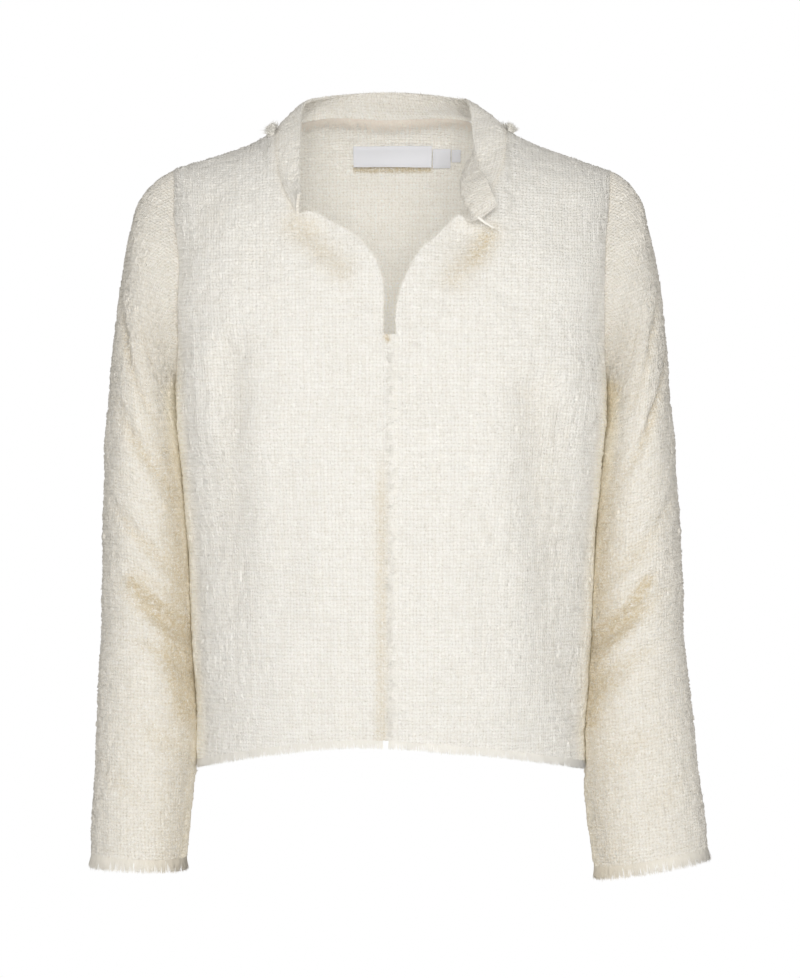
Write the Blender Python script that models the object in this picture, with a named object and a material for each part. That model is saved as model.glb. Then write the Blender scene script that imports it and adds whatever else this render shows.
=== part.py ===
"""Cropped tweed jacket, filled out as it is worn: two fronts, a back, two sleeves, a stand collar,
three small labels and the frayed edges, each a closed solid of its own.

+X is the wearer's left, -Y is the front and +Z is up. The origin lies midway between the two
shoulder-neck points, where the shoulders carry the jacket. Every size in this file is in
millimetres, and a mesh is scaled to metres when it is made.
"""

import math
import random

import bmesh
import bpy
import numpy as np
from mathutils import Vector
from mathutils.bvhtree import BVHTree
from mathutils.geometry import delaunay_2d_cdt

# %% Driving dimensions

METRES = 0.001
WALL = 2.0
SEAM_GAP = 0.3
FRONT = -1
BACK = 1
RIGHT = -1
LEFT = 1

PANEL_MESH = 20.0
QUARTER_GIRTH = 245.0
LOWER_LENGTH = 318.0
UPPER_LENGTH = 290.0

UNDERARM_Z = -228.0
SIDE_HEM_Z = -546.0
HEM_RISE = {FRONT: 29.0, BACK: 17.0}

NECK_X = 99.6
SHOULDER_X = 190.0
NECK_RISE = 32.0
SHOULDER_WIDENING = 0.032
PROFILE_ROUNDNESS = {FRONT: 2.1, BACK: 3.1}
ARMHOLE_ROUNDNESS = 3.5
BACK_NECK_V = 1.627
FOLD_FADE = 0.12
RIDGE = 1e3
HEM_TILT = 2.8

# The shoulder line, from the neck point out.
SHOULDER = dict(x=(99.6, 112.0, 137.0, 162.0, 190.0, 200.0), z=(0.0, -8.0, -18.5, -26.5, -36.0, -39.5))

FRONT_EDGE_X = {RIGHT: -7.0, LEFT: 4.6}
HOOK_Z = -183.0

# Level sections of the body below the underarm, from the hem up.
TORSO = dict(
    z=(-546.0, -526.0, -495.0, -425.0, -383.0, -337.0, -292.0, -255.0, -228.0),
    half_width=(168.0, 167.5, 169.5, 173.5, 175.0, 178.0, 182.0, 185.0, 186.0),
    front=(119.0, 120.0, 121.0, 123.0, 124.5, 126.0, 127.0, 126.0, 123.0),
    back=(102.0, 101.0, 100.0, 97.0, 96.0, 97.0, 99.0, 101.0, 102.0),
    squareness=(2.4, 2.4, 2.4, 2.4, 2.4, 2.5, 2.65, 2.85, 3.0),
)

# The armhole, seen from the front, from the shoulder point down to the underarm.
ARMHOLE = {
    FRONT: dict(
        x=(190.0, 188.0, 184.5, 182.5, 183.0, 185.0, 186.0),
        z=(-36.0, -62.0, -100.0, -140.0, -180.0, -212.0, -228.0),
    ),
    BACK: dict(
        x=(190.0, 188.0, 184.0, 181.0, 182.0, 185.0, 186.0),
        z=(-36.0, -62.0, -100.0, -140.0, -180.0, -212.0, -228.0),
    ),
}

# The neck seam of each front, from the shoulder to the collar's front end.
NECK_SEAM = {
    RIGHT: dict(x=(99.6, 99.0, 96.0, 90.0, 80.0), z=(0.0, -20.0, -42.0, -62.0, -81.0)),
    LEFT: dict(x=(99.6, 98.0, 92.0, 82.0, 65.0), z=(0.0, -20.0, -44.0, -66.0, -86.0)),
}

# The open edge of each front, from the collar's front end down to the hook.
OPEN_EDGE = {
    RIGHT: dict(
        x=(80.0, 68.8, 60.4, 47.7, 37.0, 26.5, 18.9, 13.0, 9.6, 7.1, 7.0),
        z=(-81.0, -78.5, -81.5, -89.0, -95.0, -103.5, -112.0, -120.6, -130.7, -142.0, -183.0),
    ),
    LEFT: dict(
        x=(65.0, 57.0, 46.8, 35.7, 27.3, 20.6, 14.7, 8.6, 5.4, 4.0, 4.6),
        z=(-86.0, -81.0, -90.0, -102.0, -109.0, -118.0, -129.0, -143.4, -156.0, -168.8, -183.0),
    ),
}

# Sleeve sections from the armhole down to the cuff. Each runs from an outer to an inner point,
# with its middle at y and its reach to the front and back as half_depth.
SLEEVE = {
    RIGHT: dict(
        station=(0, 16, 36, 66, 104, 158, 220, 285, 350, 395, 440, 510, 580, 628),
        out_x=(190, 203, 216.5, 225.8, 232.2, 239.3, 245.5, 249.6, 250.8, 251.2, 253.2, 255.6, 258.4, 259),
        out_z=(-36, -44, -59, -86, -121, -171, -232, -296, -362, -405, -447, -514, -581, -626),
        in_x=(186, 187, 187.6, 187.8, 187.8, 187.2, 185, 178, 173, 170, 167, 166, 173, 177),
        in_z=(-228, -229, -231, -234, -238, -245, -262, -303, -362, -405, -447, -515, -583, -629),
        y=(0, 0, 0, 0, 1, 3, 6, 9, 10, 9, 6, 0, -10, -18),
        half_depth=(54, 58, 61, 64, 66, 68, 68, 66, 63, 61, 58, 54, 50, 47),
    ),
    LEFT: dict(
        station=(0, 16, 36, 66, 104, 158, 220, 285, 350, 395, 440, 510, 580, 628),
        out_x=(190, 202.5, 215, 222.8, 230, 237, 241.8, 247.4, 251.4, 253.3, 255, 262, 269.5, 272.8),
        out_z=(-36, -44, -60, -88, -121, -171, -232, -296, -362, -405, -447, -513, -583, -620),
        in_x=(186, 187, 187.6, 187.8, 187.8, 187.5, 186.5, 180, 173.5, 170, 167.5, 163.5, 169, 175),
        in_z=(-228, -229, -231, -234, -238, -245, -262, -303, -362, -405, -447, -515, -592, -637),
        y=(0, 0, 0, 0, 1, 3, 6, 9, 10, 9, 6, 0, -10, -18),
        half_depth=(54, 58, 61, 64, 66, 68, 68, 66, 63, 61, 58, 53, 48, 45),
    ),
}
SLEEVE_SQUARENESS = 2.2
SLEEVE_CLEARANCE = 1.7
SLEEVE_SIDES = 24
ARMHOLE_BLEND = 150.0
FOLDS_FROM = 60.0
SLEEVE_STEPS = (0, 10, 20, 32, 46, 64, 86, 112, 142, 174, 206, 238, 270, 300, 328, 352, 374)
SLEEVE_STEPS += (394, 412, 430, 450, 474, 504, 536, 568, 600, 628)

# The largest folds of the body: soft troughs between two points seen from the front.
BODY_FOLDS = dict(
    face=(-1, -1, -1, -1, -1, -1, -1, -1, 1, 1, 1, 1, 1),
    x0=(-136, 122, 146, -66, 58, -156, 150, -30, -120, 128, -60, 70, 0),
    z0=(-200, -236, -250, -96, -96, -70, -72, -520, -210, -230, -60, -66, -300),
    x1=(-134, 142, 150, -40, 46, -164, 142, -34, -132, 138, -120, 124, 6),
    z1=(-410, -470, -380, -118, -126, -104, -98, -470, -440, -460, -120, -130, -520),
    width=(17, 20, 12, 13, 15, 15, 13, 14, 20, 18, 18, 18, 26),
    depth=(7.0, 8.0, 3.0, 5.5, 7.0, 4.0, 3.5, 3.0, 7.0, 6.0, 4.0, 3.5, 5.0),
)

# Sleeve creases: station and angle of the middle, slope in millimetres a degree, half sizes, depth.
SLEEVE_FOLDS = {
    RIGHT: dict(
        station=(392, 418, 352, 262, 470, 160, 404, 436, 300),
        angle=(70, 128, 100, 92, 150, 60, 268, 232, 250),
        slope=(0.55, 0.35, 0.60, 0.9, 0.5, 0.9, -0.55, -0.35, -0.8),
        half_length=(46, 34, 30, 38, 40, 30, 50, 36, 34),
        half_width=(9, 8, 10, 13, 13, 14, 9, 9, 13),
        depth=(6.5, 5.0, 3.0, 4.0, 4.5, 3.5, 6.0, 4.5, 3.5),
    ),
    LEFT: dict(
        station=(400, 428, 358, 232, 480, 150, 410, 440, 296),
        angle=(66, 122, 96, 70, 146, 64, 266, 236, 254),
        slope=(0.6, 0.4, 0.55, 1.1, 0.45, 0.8, -0.5, -0.4, -0.8),
        half_length=(44, 36, 28, 40, 42, 28, 48, 34, 36),
        half_width=(9, 8, 11, 12, 14, 13, 9, 9, 13),
        depth=(6.5, 5.0, 3.0, 5.0, 4.5, 3.0, 6.0, 4.5, 3.5),
    ),
}

# The collar band, a row for each place along the neck seam, counted 0 to 1 from the right front
# end round the back to the left one: its free edge, and the point halfway up its rise.
COLLAR = dict(
    along=(0.0, 0.07, 0.16, 0.27, 0.36, 0.5, 0.64, 0.73, 0.80, 0.86, 0.93, 1.0),
    x=(-77.0, -78.0, -78.0, -76.0, -60.0, 0.0, 56.0, 68.0, 70.0, 73.5, 81.5, 88.7),
    y=(-112.0, -92.0, -52.0, 6.0, 48.0, 64.0, 48.0, 6.0, -45.0, -86.0, -106.0, -110.0),
    z=(-64.0, -50.0, -10.0, 24.0, 34.0, 40.0, 33.0, 23.0, -12.0, -39.0, -54.0, -75.0),
    mid_x=(-79.2, -84.8, -88.6, -87.8, -65.2, 0.0, 60.0, 83.9, 84.5, 65.5, 60.5, 74.0),
    mid_y=(-105.2, -90.0, -50.8, 6.0, 47.8, 64.8, 49.5, 2.5, -42.0, -71.0, -93.0, -111.0),
    mid_z=(-70.2, -54.2, -13.5, 15.0, 24.8, 26.5, 24.2, 14.8, -9.0, -40.0, -64.0, -86.0),
)
COLLAR_STEPS = 4
NECK_POINTS = 9

# The labels, seen from the front: they lie on the inside of the back.
LABELS = dict(
    name=("neck_label", "size_tab", "care_tab"),
    left=(-34.5, 37.2, 54.2),
    right=(36.0, 53.0, 62.0),
    top=(-5.5, -8.0, -9.0),
    bottom=(-23.0, -24.5, -19.5),
)
LABEL_WALL = 1.0
REACH = 7.0

# Frayed edges: depth of the woven strip, length and number of the locks.
STRIP = 2.4
STRIP_WALL = 1.6
HEM_LOCKS = dict(strip_locks=24, back_locks=42, length=6.5)
CUFF_LOCKS = dict(count=22, length=10.5)
EDGE_LOCKS = dict(count=38, length=7.6)
NECK_LOCKS = dict(side=7, back=20, side_length=7.5, back_length=5.0)
LOCK_TAPER = 0.55
EDGE_STRIP = 1.8
CUFF_FLARE = 0.12
NECK_OUTSET = 2.2
NECK_DROP = 1.2
NEAR_V = 0.02
EDGE_SEED = 5
NECK_SEED = 7
NECK_BACK_SEED = 11
CUFF_SEED = 20
HEM_SEED = 30
HEM_BACK_SEED = 41

TWEED = (0.86, 0.82, 0.70, 1.0)
FRAYED = (0.90, 0.87, 0.77, 1.0)
LABEL_WHITE = (0.86, 0.87, 0.90, 1.0)


# %% Tables and curves


def smooth(at, knots, values):
    """A smooth curve through a table's column, read at the places given."""
    knots = np.asarray(knots, float)
    values = np.asarray(values, float)
    slopes = np.gradient(values, knots)
    at = np.clip(np.asarray(at, float), knots[0], knots[-1])
    cell = np.clip(np.searchsorted(knots, at, side="right") - 1, 0, len(knots) - 2)
    width = knots[cell + 1] - knots[cell]
    t = (at - knots[cell]) / width
    start = (2 * t**3 - 3 * t**2 + 1) * values[cell] + (t**3 - 2 * t**2 + t) * width * slopes[cell]
    end = (3 * t**2 - 2 * t**3) * values[cell + 1] + (t**3 - t**2) * width * slopes[cell + 1]
    return start + end


def rows(table):
    """The rows of a table whose columns have names, each as a dictionary."""
    return [dict(zip(table, row)) for row in zip(*table.values())]


def unit(vectors):
    return vectors / np.maximum(np.linalg.norm(vectors, axis=-1, keepdims=True), 1e-9)


def evenly(points, count):
    """The places, as fractions of the index, that divide a run of points into equal lengths."""
    steps = np.linalg.norm(np.diff(points, axis=0), axis=1)
    length = np.concatenate([[0.0], np.cumsum(steps)])
    return np.interp(np.linspace(0.0, length[-1], count), length, np.arange(len(points)))


def taken(values, places):
    """Values read at fractional places along their first axis."""
    index = np.arange(len(values))
    return np.stack([np.interp(places, index, column) for column in np.asarray(values).T], axis=1)


def quarter(angle, across, deep, roundness):
    """A point at this angle on a quarter of a rounded oval, as its two distances."""
    sine = np.abs(np.sin(angle))
    cosine = np.abs(np.cos(angle))
    reach = ((sine / across) ** roundness + (cosine / deep) ** roundness) ** (-1 / roundness)
    return reach * sine, reach * cosine


# %% The surface of the body


def ridge_z(x):
    """Height of the shoulder line, and of the neck's rise between the two neck points."""
    inside = NECK_RISE * (1 - np.minimum(np.abs(x) / NECK_X, 1.0) ** 2)
    return inside + smooth(np.abs(x), SHOULDER["x"], SHOULDER["z"])


def bare_torso(face, s, v):
    """The body's cloth before its folds. s runs from -1 at the right side to 1 at the left one,
    and v from 0 at the hem by 1 at the underarm to 2 at the shoulder line."""
    s = np.asarray(s, float)
    v = np.asarray(v, float)
    angle = np.abs(s) * math.pi / 2
    tilt = HEM_TILT * np.sign(s) * np.sin(2 * angle) if face == FRONT else 0.0
    hem = SIDE_HEM_Z + HEM_RISE[face] * np.cos(angle) ** 2 - tilt
    z = hem + (UNDERARM_Z - hem) * np.minimum(v, 1.0)
    half_width = smooth(z, TORSO["z"], TORSO["half_width"])
    deep = smooth(z, TORSO["z"], TORSO["front" if face == FRONT else "back"])
    x, y = quarter(angle, half_width, deep, smooth(z, TORSO["z"], TORSO["squareness"]))
    climb = np.clip(v - 1.0, 0.0, 1.0) * math.pi / 2
    roundness = PROFILE_ROUNDNESS[face]
    roundness = roundness + (ARMHOLE_ROUNDNESS - roundness) * np.abs(s) ** 4
    rise, keep = quarter(climb, 1.0, 1.0, roundness)
    x = x * (1 + SHOULDER_WIDENING * np.sin(climb))
    z = z + (ridge_z(x) - UNDERARM_Z) * rise
    # Past the side seam the surface runs on round to the other face.
    y = y * np.sign(np.cos(angle) + 1e-12)
    return np.stack([np.sign(s) * x, face * y * keep, z], axis=-1)


def fold_depth(face, points):
    """How far the folds press the cloth in at these points."""
    total = np.zeros(len(points))
    seen = points[:, [0, 2]]
    for fold in rows(BODY_FOLDS):
        if fold["face"] != face:
            continue
        start = np.array([fold["x0"], fold["z0"]], float)
        run = np.array([fold["x1"], fold["z1"]], float) - start
        along = np.clip((seen - start) @ run / (run @ run), 0.0, 1.0)
        away = np.linalg.norm(seen - start - along[:, None] * run, axis=1)
        total += fold["depth"] * np.exp(-((away / fold["width"]) ** 2)) * (0.6 + 0.4 * np.cos(along * 2))
    return total


def torso_normal(face, s, v):
    step = 1e-4
    v = np.clip(v, 0.002, 1.9985)
    across = bare_torso(face, s + step, v) - bare_torso(face, s - step, v)
    up = bare_torso(face, s, v + step) - bare_torso(face, s, v - step)
    normal = unit(np.cross(across, up))
    return normal if face == FRONT else -normal


def torso(face, s, v):
    """Points of the cloth's outer face and its outward normals, folds and all."""
    s = np.atleast_1d(np.asarray(s, float))
    v = np.atleast_1d(np.asarray(v, float))
    points = bare_torso(face, s, v)
    normals = torso_normal(face, s, v)
    # Folds die out at the side seam and the shoulder line, which both panels share.
    calm = np.clip((1 - np.abs(s)) / FOLD_FADE, 0, 1) * np.clip((2 - v) / FOLD_FADE, 0, 1)
    return points - normals * (fold_depth(face, points) * calm)[:, None], normals


def on_torso(face, x, z):
    """s and v of the point that shows at x and z from the front. A z above the cloth, such as
    RIDGE, gives the point on the shoulder line."""
    low = np.zeros(len(x))
    high = np.full(len(x), 1.0)
    v = np.full(len(x), 1.0)
    for _ in range(40):
        s_low, s_high = low.copy(), high.copy()
        for _ in range(30):
            middle = (s_low + s_high) / 2
            short = bare_torso(face, middle, v)[:, 0] < np.abs(x)
            s_low = np.where(short, middle, s_low)
            s_high = np.where(short, s_high, middle)
        s = (s_low + s_high) / 2
        v_low, v_high = np.zeros(len(x)), np.full(len(x), 2.0)
        for _ in range(30):
            middle = (v_low + v_high) / 2
            short = bare_torso(face, s, middle)[:, 2] < z
            v_low = np.where(short, middle, v_low)
            v_high = np.where(short, v_high, middle)
        moved = np.abs(v - (v_low + v_high) / 2).max()
        v = (v_low + v_high) / 2
        if moved < 1e-7:
            break
    return np.stack([np.sign(x + 1e-12) * s, v], axis=1)


# %% Seam lines, as s and v


def line_of(face, table, side, count, ridge_start):
    """A seam or edge that a table gives as seen from the front, in equal steps."""
    x = side * np.asarray(table["x"], float)
    z = np.asarray(table["z"], float)
    if ridge_start:
        z[0] = RIDGE
    places = on_torso(face, x, z)
    dense = np.linspace(0, len(x) - 1, 400)
    s = smooth(dense, np.arange(len(x)), places[:, 0])
    v = smooth(dense, np.arange(len(x)), places[:, 1])
    picked = evenly(bare_torso(face, s, v), count)
    return taken(np.stack([s, v], axis=1), picked)


def armhole_line(face, side):
    return line_of(face, ARMHOLE[face], side, SLEEVE_SIDES // 2 + 1, True)


def shoulder_line(face, side, count=6):
    """From the shoulder point in to the neck point."""
    x = side * np.linspace(SHOULDER_X, NECK_X, count)
    return on_torso(face, x, np.full(count, RIDGE))


def neck_back_line(count=17):
    """The back neck seam, from the right neck point round to the left one."""
    edge = abs(shoulder_line(BACK, LEFT)[-1, 0])
    turn = np.linspace(-math.pi / 2, math.pi / 2, count)
    return np.stack([edge * np.sin(turn), 2 - (2 - BACK_NECK_V) * np.cos(turn)], axis=1)


def edge_line(side, count=17):
    """The front edge from the hook down to the hem."""
    z = np.linspace(HOOK_Z, SIDE_HEM_Z + HEM_RISE[FRONT], count)
    line = on_torso(FRONT, np.full(count, FRONT_EDGE_X[side]), z)
    line[-1, 1] = 0.0
    return line


def hem_line(start, end, count):
    return np.stack([np.linspace(start, end, count), np.zeros(count)], axis=1)


def side_seam(side, count=17):
    return np.stack([np.full(count, float(side)), np.linspace(0.0, 1.0, count)], axis=1)


def joined(*lines):
    """Lines that run on from one another, as one closed outline with each corner kept once."""
    return np.concatenate([line[:-1] for line in lines])


# %% Closed solids


def material(name, colour, roughness):
    made = bpy.data.materials.new(name)
    made.use_nodes = True
    shader = made.node_tree.nodes["Principled BSDF"]
    shader.inputs["Base Color"].default_value = colour
    shader.inputs["Roughness"].default_value = roughness
    shader.inputs["Metallic"].default_value = 0.0
    return made


def add_solid(name, points, faces, finish):
    """Makes a mesh object, its faces turned outwards, from points in millimetres."""
    mesh = bpy.data.meshes.new(name)
    mesh.from_pydata([Vector(point) * METRES for point in points], [], faces)
    work = bmesh.new()
    work.from_mesh(mesh)
    bmesh.ops.triangulate(work, faces=work.faces[:])
    bmesh.ops.recalc_face_normals(work, faces=work.faces[:])
    work.to_mesh(mesh)
    work.free()
    mesh.shade_smooth()
    mesh.set_sharp_from_angle(angle=math.radians(50))
    mesh.materials.append(finish)
    piece = bpy.data.objects.new(name, mesh)
    bpy.context.scene.collection.objects.link(piece)
    return piece


def rim_edges(faces):
    """The edges with a face on one side only, in the direction in which that face runs."""
    directed = set()
    for face in faces:
        directed.update(zip(face, face[1:] + face[:1]))
    return [edge for edge in directed if (edge[1], edge[0]) not in directed]


def drawn_in(points, normals, faces, gap):
    """Moves the rim of a sheet in by half the gap at each seam, along the sheet."""
    pull = np.zeros_like(points)
    for start, end in sorted(rim_edges(faces)):
        inward = unit(np.cross(normals[start] + normals[end], points[end] - points[start]))
        pull[start] += inward
        pull[end] += inward
    size = np.linalg.norm(pull, axis=1)
    on_rim = size > 1e-6
    # Two edges that meet at a corner each ask for the gap, so the corner moves further.
    scale = np.where(on_rim, gap / 2 / np.maximum((size / 2) ** 2, 0.3), 0.0)
    return points + pull / 2 * scale[:, None]


def shell(name, points, normals, faces, finish, wall=WALL, gap=SEAM_GAP):
    """A wall of this thickness under a sheet of outer points, closed round its rim."""
    outer = drawn_in(points, normals, faces, gap)
    inner = outer - normals * wall
    count = len(outer)
    under = [tuple(index + count for index in reversed(face)) for face in faces]
    rim = [(end, start, start + count, end + count) for start, end in sorted(rim_edges(faces))]
    return add_solid(name, np.concatenate([outer, inner]), [*faces, *under, *rim], finish)


# %% Pieces that lie on a panel


def surface_of(*pieces):
    """A search tree of the faces of some solids, in millimetres."""
    corners, faces = [], []
    for piece in pieces:
        start = len(corners)
        corners += [vertex.co / METRES for vertex in piece.data.vertices]
        faces += [[start + index for index in polygon.vertices] for polygon in piece.data.polygons]
    return BVHTree.FromPolygons(corners, faces)


def laid_on(surface, points, normals, gap):
    """The points moved along their normals until they lie this far above the surface."""
    laid = []
    for point, normal in zip(points, normals):
        start = Vector(point + normal * REACH)
        hit = surface.ray_cast(start, Vector(-normal), 3 * REACH)[0]
        laid.append(point if hit is None else np.array(hit))
    return np.array(laid) + normals * gap


# %% Panels of the body


def flat(line):
    """s and v as a nearly true flat pattern, for an even mesh."""
    up = np.minimum(line[:, 1], 1.0) * LOWER_LENGTH + np.maximum(line[:, 1] - 1.0, 0.0) * UPPER_LENGTH
    return np.stack([line[:, 0] * QUARTER_GIRTH, up], axis=1)


def unflat(pattern):
    lower = np.minimum(pattern[:, 1] / LOWER_LENGTH, 1.0)
    upper = np.maximum(pattern[:, 1] - LOWER_LENGTH, 0.0) / UPPER_LENGTH
    return np.stack([pattern[:, 0] / QUARTER_GIRTH, lower + upper], axis=1)


def inside(outline, spots, margin):
    """Which spots lie in the outline and at least the margin away from it."""
    following = np.roll(outline, -1, axis=0)
    crossings = np.zeros(len(spots), int)
    nearest = np.full(len(spots), np.inf)
    for start, end in zip(outline, following):
        if start[1] != end[1]:
            at = start[0] + (spots[:, 1] - start[1]) / (end[1] - start[1]) * (end[0] - start[0])
            crossings += ((start[1] > spots[:, 1]) != (end[1] > spots[:, 1])) & (spots[:, 0] < at)
        run = end - start
        along = np.clip((spots - start) @ run / (run @ run), 0.0, 1.0)
        away = np.linalg.norm(spots - start - along[:, None] * run, axis=1)
        nearest = np.minimum(nearest, away)
    return (crossings % 2 == 1) & (nearest > margin)


def filled(outline, spacing):
    """Triangles that fill a flat outline, with rows of staggered points inside it."""
    low = outline.min(axis=0)
    high = outline.max(axis=0)
    spots = []
    for row, y in enumerate(np.arange(low[1] + spacing / 2, high[1], spacing * 0.87)):
        x = np.arange(low[0] + spacing * (0.25 + 0.5 * (row % 2)), high[0], spacing)
        spots.append(np.stack([x, np.full(len(x), y)], axis=1))
    spots = np.concatenate(spots)
    spots = spots[inside(outline, spots, spacing * 0.55)]
    corners = [Vector(point) for point in np.concatenate([outline, spots])]
    ring = list(range(len(outline)))
    found = delaunay_2d_cdt(corners, [], [ring], 1, 1e-6)
    places = np.array([tuple(corner) for corner in found[0]])
    return places, [tuple(face) for face in found[2]]


def body_panel(name, face, outline, seam_normals, finish):
    """A front or the back, from its outline in s and v. Where a seam's wall must agree with its
    neighbour's, seam_normals gives the places and the normals there."""
    places, faces = filled(flat(outline), PANEL_MESH)
    spread = unflat(places)
    points, normals = torso(face, spread[:, 0], spread[:, 1])
    for line, shared in seam_normals:
        for spot, normal in zip(flat(line), shared):
            nearest = np.argmin(np.linalg.norm(places - spot, axis=1))
            normals[nearest] = normal
    if face == BACK:
        faces = [tuple(reversed(triangle)) for triangle in faces]
    return shell(name, points, normals, faces, finish)


# %% Sleeves


def armhole_ring(side):
    """The armhole from the shoulder point down the front, through the underarm and up the back."""
    front = armhole_line(FRONT, side)
    back = armhole_line(BACK, side)[::-1]
    points = [torso(FRONT, *front.T)[0], torso(BACK, *back[1:-1].T)[0]]
    normals = [torso_normal(FRONT, *front.T), torso_normal(BACK, *back[1:-1].T)]
    return np.concatenate(points), np.concatenate(normals)


def sleeve_sections(side, stations):
    """Rings of points, one for each station, before the armhole's own shape is blended in."""
    table = SLEEVE[side]
    column = {key: smooth(stations, table["station"], table[key]) for key in table}
    angle = np.linspace(0, 2 * math.pi, SLEEVE_SIDES, endpoint=False)
    sine, cosine = np.sin(angle), np.cos(angle)
    reach = (np.abs(sine) ** SLEEVE_SQUARENESS + np.abs(cosine) ** SLEEVE_SQUARENESS)
    reach = reach ** (-1 / SLEEVE_SQUARENESS)
    outer = np.stack([side * column["out_x"], column["y"], column["out_z"]], axis=1)
    inner = np.stack([side * column["in_x"], column["y"], column["in_z"]], axis=1)
    middle, arm = (outer + inner) / 2, (outer - inner) / 2
    rings = middle[:, None] + arm[:, None] * (reach * cosine)[None, :, None]
    rings[:, :, 1] -= column["half_depth"][:, None] * (reach * sine)[None]
    return rings


def grid_normals(rings):
    """Outward normals of rings of points that run down a sleeve."""
    around = np.roll(rings, -1, axis=1) - np.roll(rings, 1, axis=1)
    down = np.gradient(rings, axis=0)
    normals = unit(np.cross(around, down))
    away = rings - rings.mean(axis=1, keepdims=True)
    return normals if (normals * away).sum() > 0 else -normals


def beside_body(rings, side):
    """The rings with what would press into the body's side laid against it, just clear."""
    x, y, z = np.moveaxis(rings, -1, 0)
    level = np.clip(z, SIDE_HEM_Z, UNDERARM_Z)
    half_width = smooth(level, TORSO["z"], TORSO["half_width"])
    front = smooth(level, TORSO["z"], TORSO["front"])
    deep = np.where(y < 0, front, smooth(level, TORSO["z"], TORSO["back"]))
    squareness = smooth(level, TORSO["z"], TORSO["squareness"])
    keep = np.clip(1 - (np.abs(y) / deep) ** squareness, 0, 1) ** (1 / squareness)
    # The wall of the body ends at its hem, and the sleeve falls free of it there.
    below_hem = np.clip((z - SIDE_HEM_Z + 30) / 20, 0, 1)
    beside = below_hem * np.clip((UNDERARM_Z - 2 - z) / 8, 0, 1)
    limit = half_width * keep + SLEEVE_CLEARANCE
    pushed = np.where(beside > 0, np.maximum(side * x, side * x + (limit - side * x) * beside), side * x)
    laid = rings.copy()
    laid[:, :, 0] = side * pushed
    return laid


def sleeve_rings(side):
    stations = np.array(SLEEVE_STEPS, float)
    rings = sleeve_sections(side, stations)
    armhole, torso_side = armhole_ring(side)
    blend = np.clip(1 - stations / ARMHOLE_BLEND, 0, 1) ** 2
    rings = rings + blend[:, None, None] * (armhole - rings[0])[None]
    normals = grid_normals(rings)
    degrees = np.degrees(np.linspace(0, 2 * math.pi, SLEEVE_SIDES, endpoint=False))
    press = np.zeros(rings.shape[:2])
    for fold in rows(SLEEVE_FOLDS[side]):
        turn = degrees[None] - fold["angle"]
        away = stations[:, None] - fold["station"] - fold["slope"] * turn
        reach = np.exp(-((turn / fold["half_length"]) ** 2) - (away / fold["half_width"]) ** 2)
        press += fold["depth"] * reach
    press *= np.clip(stations / FOLDS_FROM, 0, 1)[:, None]
    rings = beside_body(rings - normals * press[:, :, None], side)
    normals = grid_normals(rings)
    normals[0] = unit(normals[0] + torso_side)
    return rings, normals


def ring_faces(count, sides):
    faces = []
    for row in range(count - 1):
        for spot in range(sides):
            following = (spot + 1) % sides
            a, b = row * sides + spot, row * sides + following
            faces.append((a, b, b + sides, a + sides))
    return faces


def facing_out(points, normals, faces):
    """Faces turned so that they run round their outward normals."""
    first = faces[len(faces) // 2]
    corner = points[list(first[:3])]
    turned = np.dot(np.cross(corner[1] - corner[0], corner[2] - corner[0]), normals[first[0]])
    return faces if turned > 0 else [tuple(reversed(face)) for face in faces]


def sleeve(name, side, rings, normals, finish):
    points = rings.reshape(-1, 3)
    flat_normals = normals.reshape(-1, 3)
    faces = facing_out(points, flat_normals, ring_faces(len(rings), SLEEVE_SIDES))
    return shell(name, points, flat_normals, faces, finish)


# %% Collar


def neck_seam_points():
    """The neck seam on the cloth's outer face, from the right front end round to the left one,
    with the body's normals there and the direction away from the neck opening."""
    right = line_of(FRONT, NECK_SEAM[RIGHT], RIGHT, NECK_POINTS, True)[::-1]
    left = line_of(FRONT, NECK_SEAM[LEFT], LEFT, NECK_POINTS, True)
    back = neck_back_line()
    parts = [(FRONT, right[:-1]), (BACK, back), (FRONT, left[1:])]
    points = np.concatenate([torso(face, *line.T)[0] for face, line in parts])
    normals = np.concatenate([torso_normal(face, *line.T) for face, line in parts])
    along = unit(np.gradient(points, axis=0))
    outward = unit(np.cross(normals, along))
    away = points - points.mean(axis=0)
    outward *= np.sign((outward * away).sum())
    return points, normals, outward


def collar_grid():
    """Rows of points from the neck seam up to the band's free edge, with their outward normals,
    and the normals that the band shares with the body along the seam."""
    base, normals, outward = neck_seam_points()
    steps = np.linalg.norm(np.diff(base, axis=0), axis=1)
    along = np.concatenate([[0.0], np.cumsum(steps)]) / steps.sum()
    column = {key: smooth(along, COLLAR["along"], COLLAR[key]) for key in COLLAR}
    edge = np.stack([column["x"], column["y"], column["z"]], axis=1)
    middle = np.stack([column["mid_x"], column["mid_y"], column["mid_z"]], axis=1)
    bend = 2 * middle - (base + edge) / 2
    up = np.linspace(0, 1, COLLAR_STEPS + 1)[:, None, None]
    grid = (1 - up) ** 2 * base + 2 * up * (1 - up) * bend + up**2 * edge
    outer = unit(np.cross(np.gradient(grid, axis=1), np.gradient(grid, axis=0)))
    outer *= np.sign((outer[0] * outward).sum())
    outer[0] = unit(outer[0] + normals)
    return grid, outer


def neck_seams(shared):
    """The neck seam of each front and of the back in s and v, with its share of the seam's normals."""
    right = line_of(FRONT, NECK_SEAM[RIGHT], RIGHT, NECK_POINTS, True)[::-1]
    left = line_of(FRONT, NECK_SEAM[LEFT], LEFT, NECK_POINTS, True)
    fronts = {RIGHT: (right, shared[:NECK_POINTS]), LEFT: (left, shared[-NECK_POINTS:])}
    return fronts, (neck_back_line(), shared[NECK_POINTS - 1 : 1 - NECK_POINTS])


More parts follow.
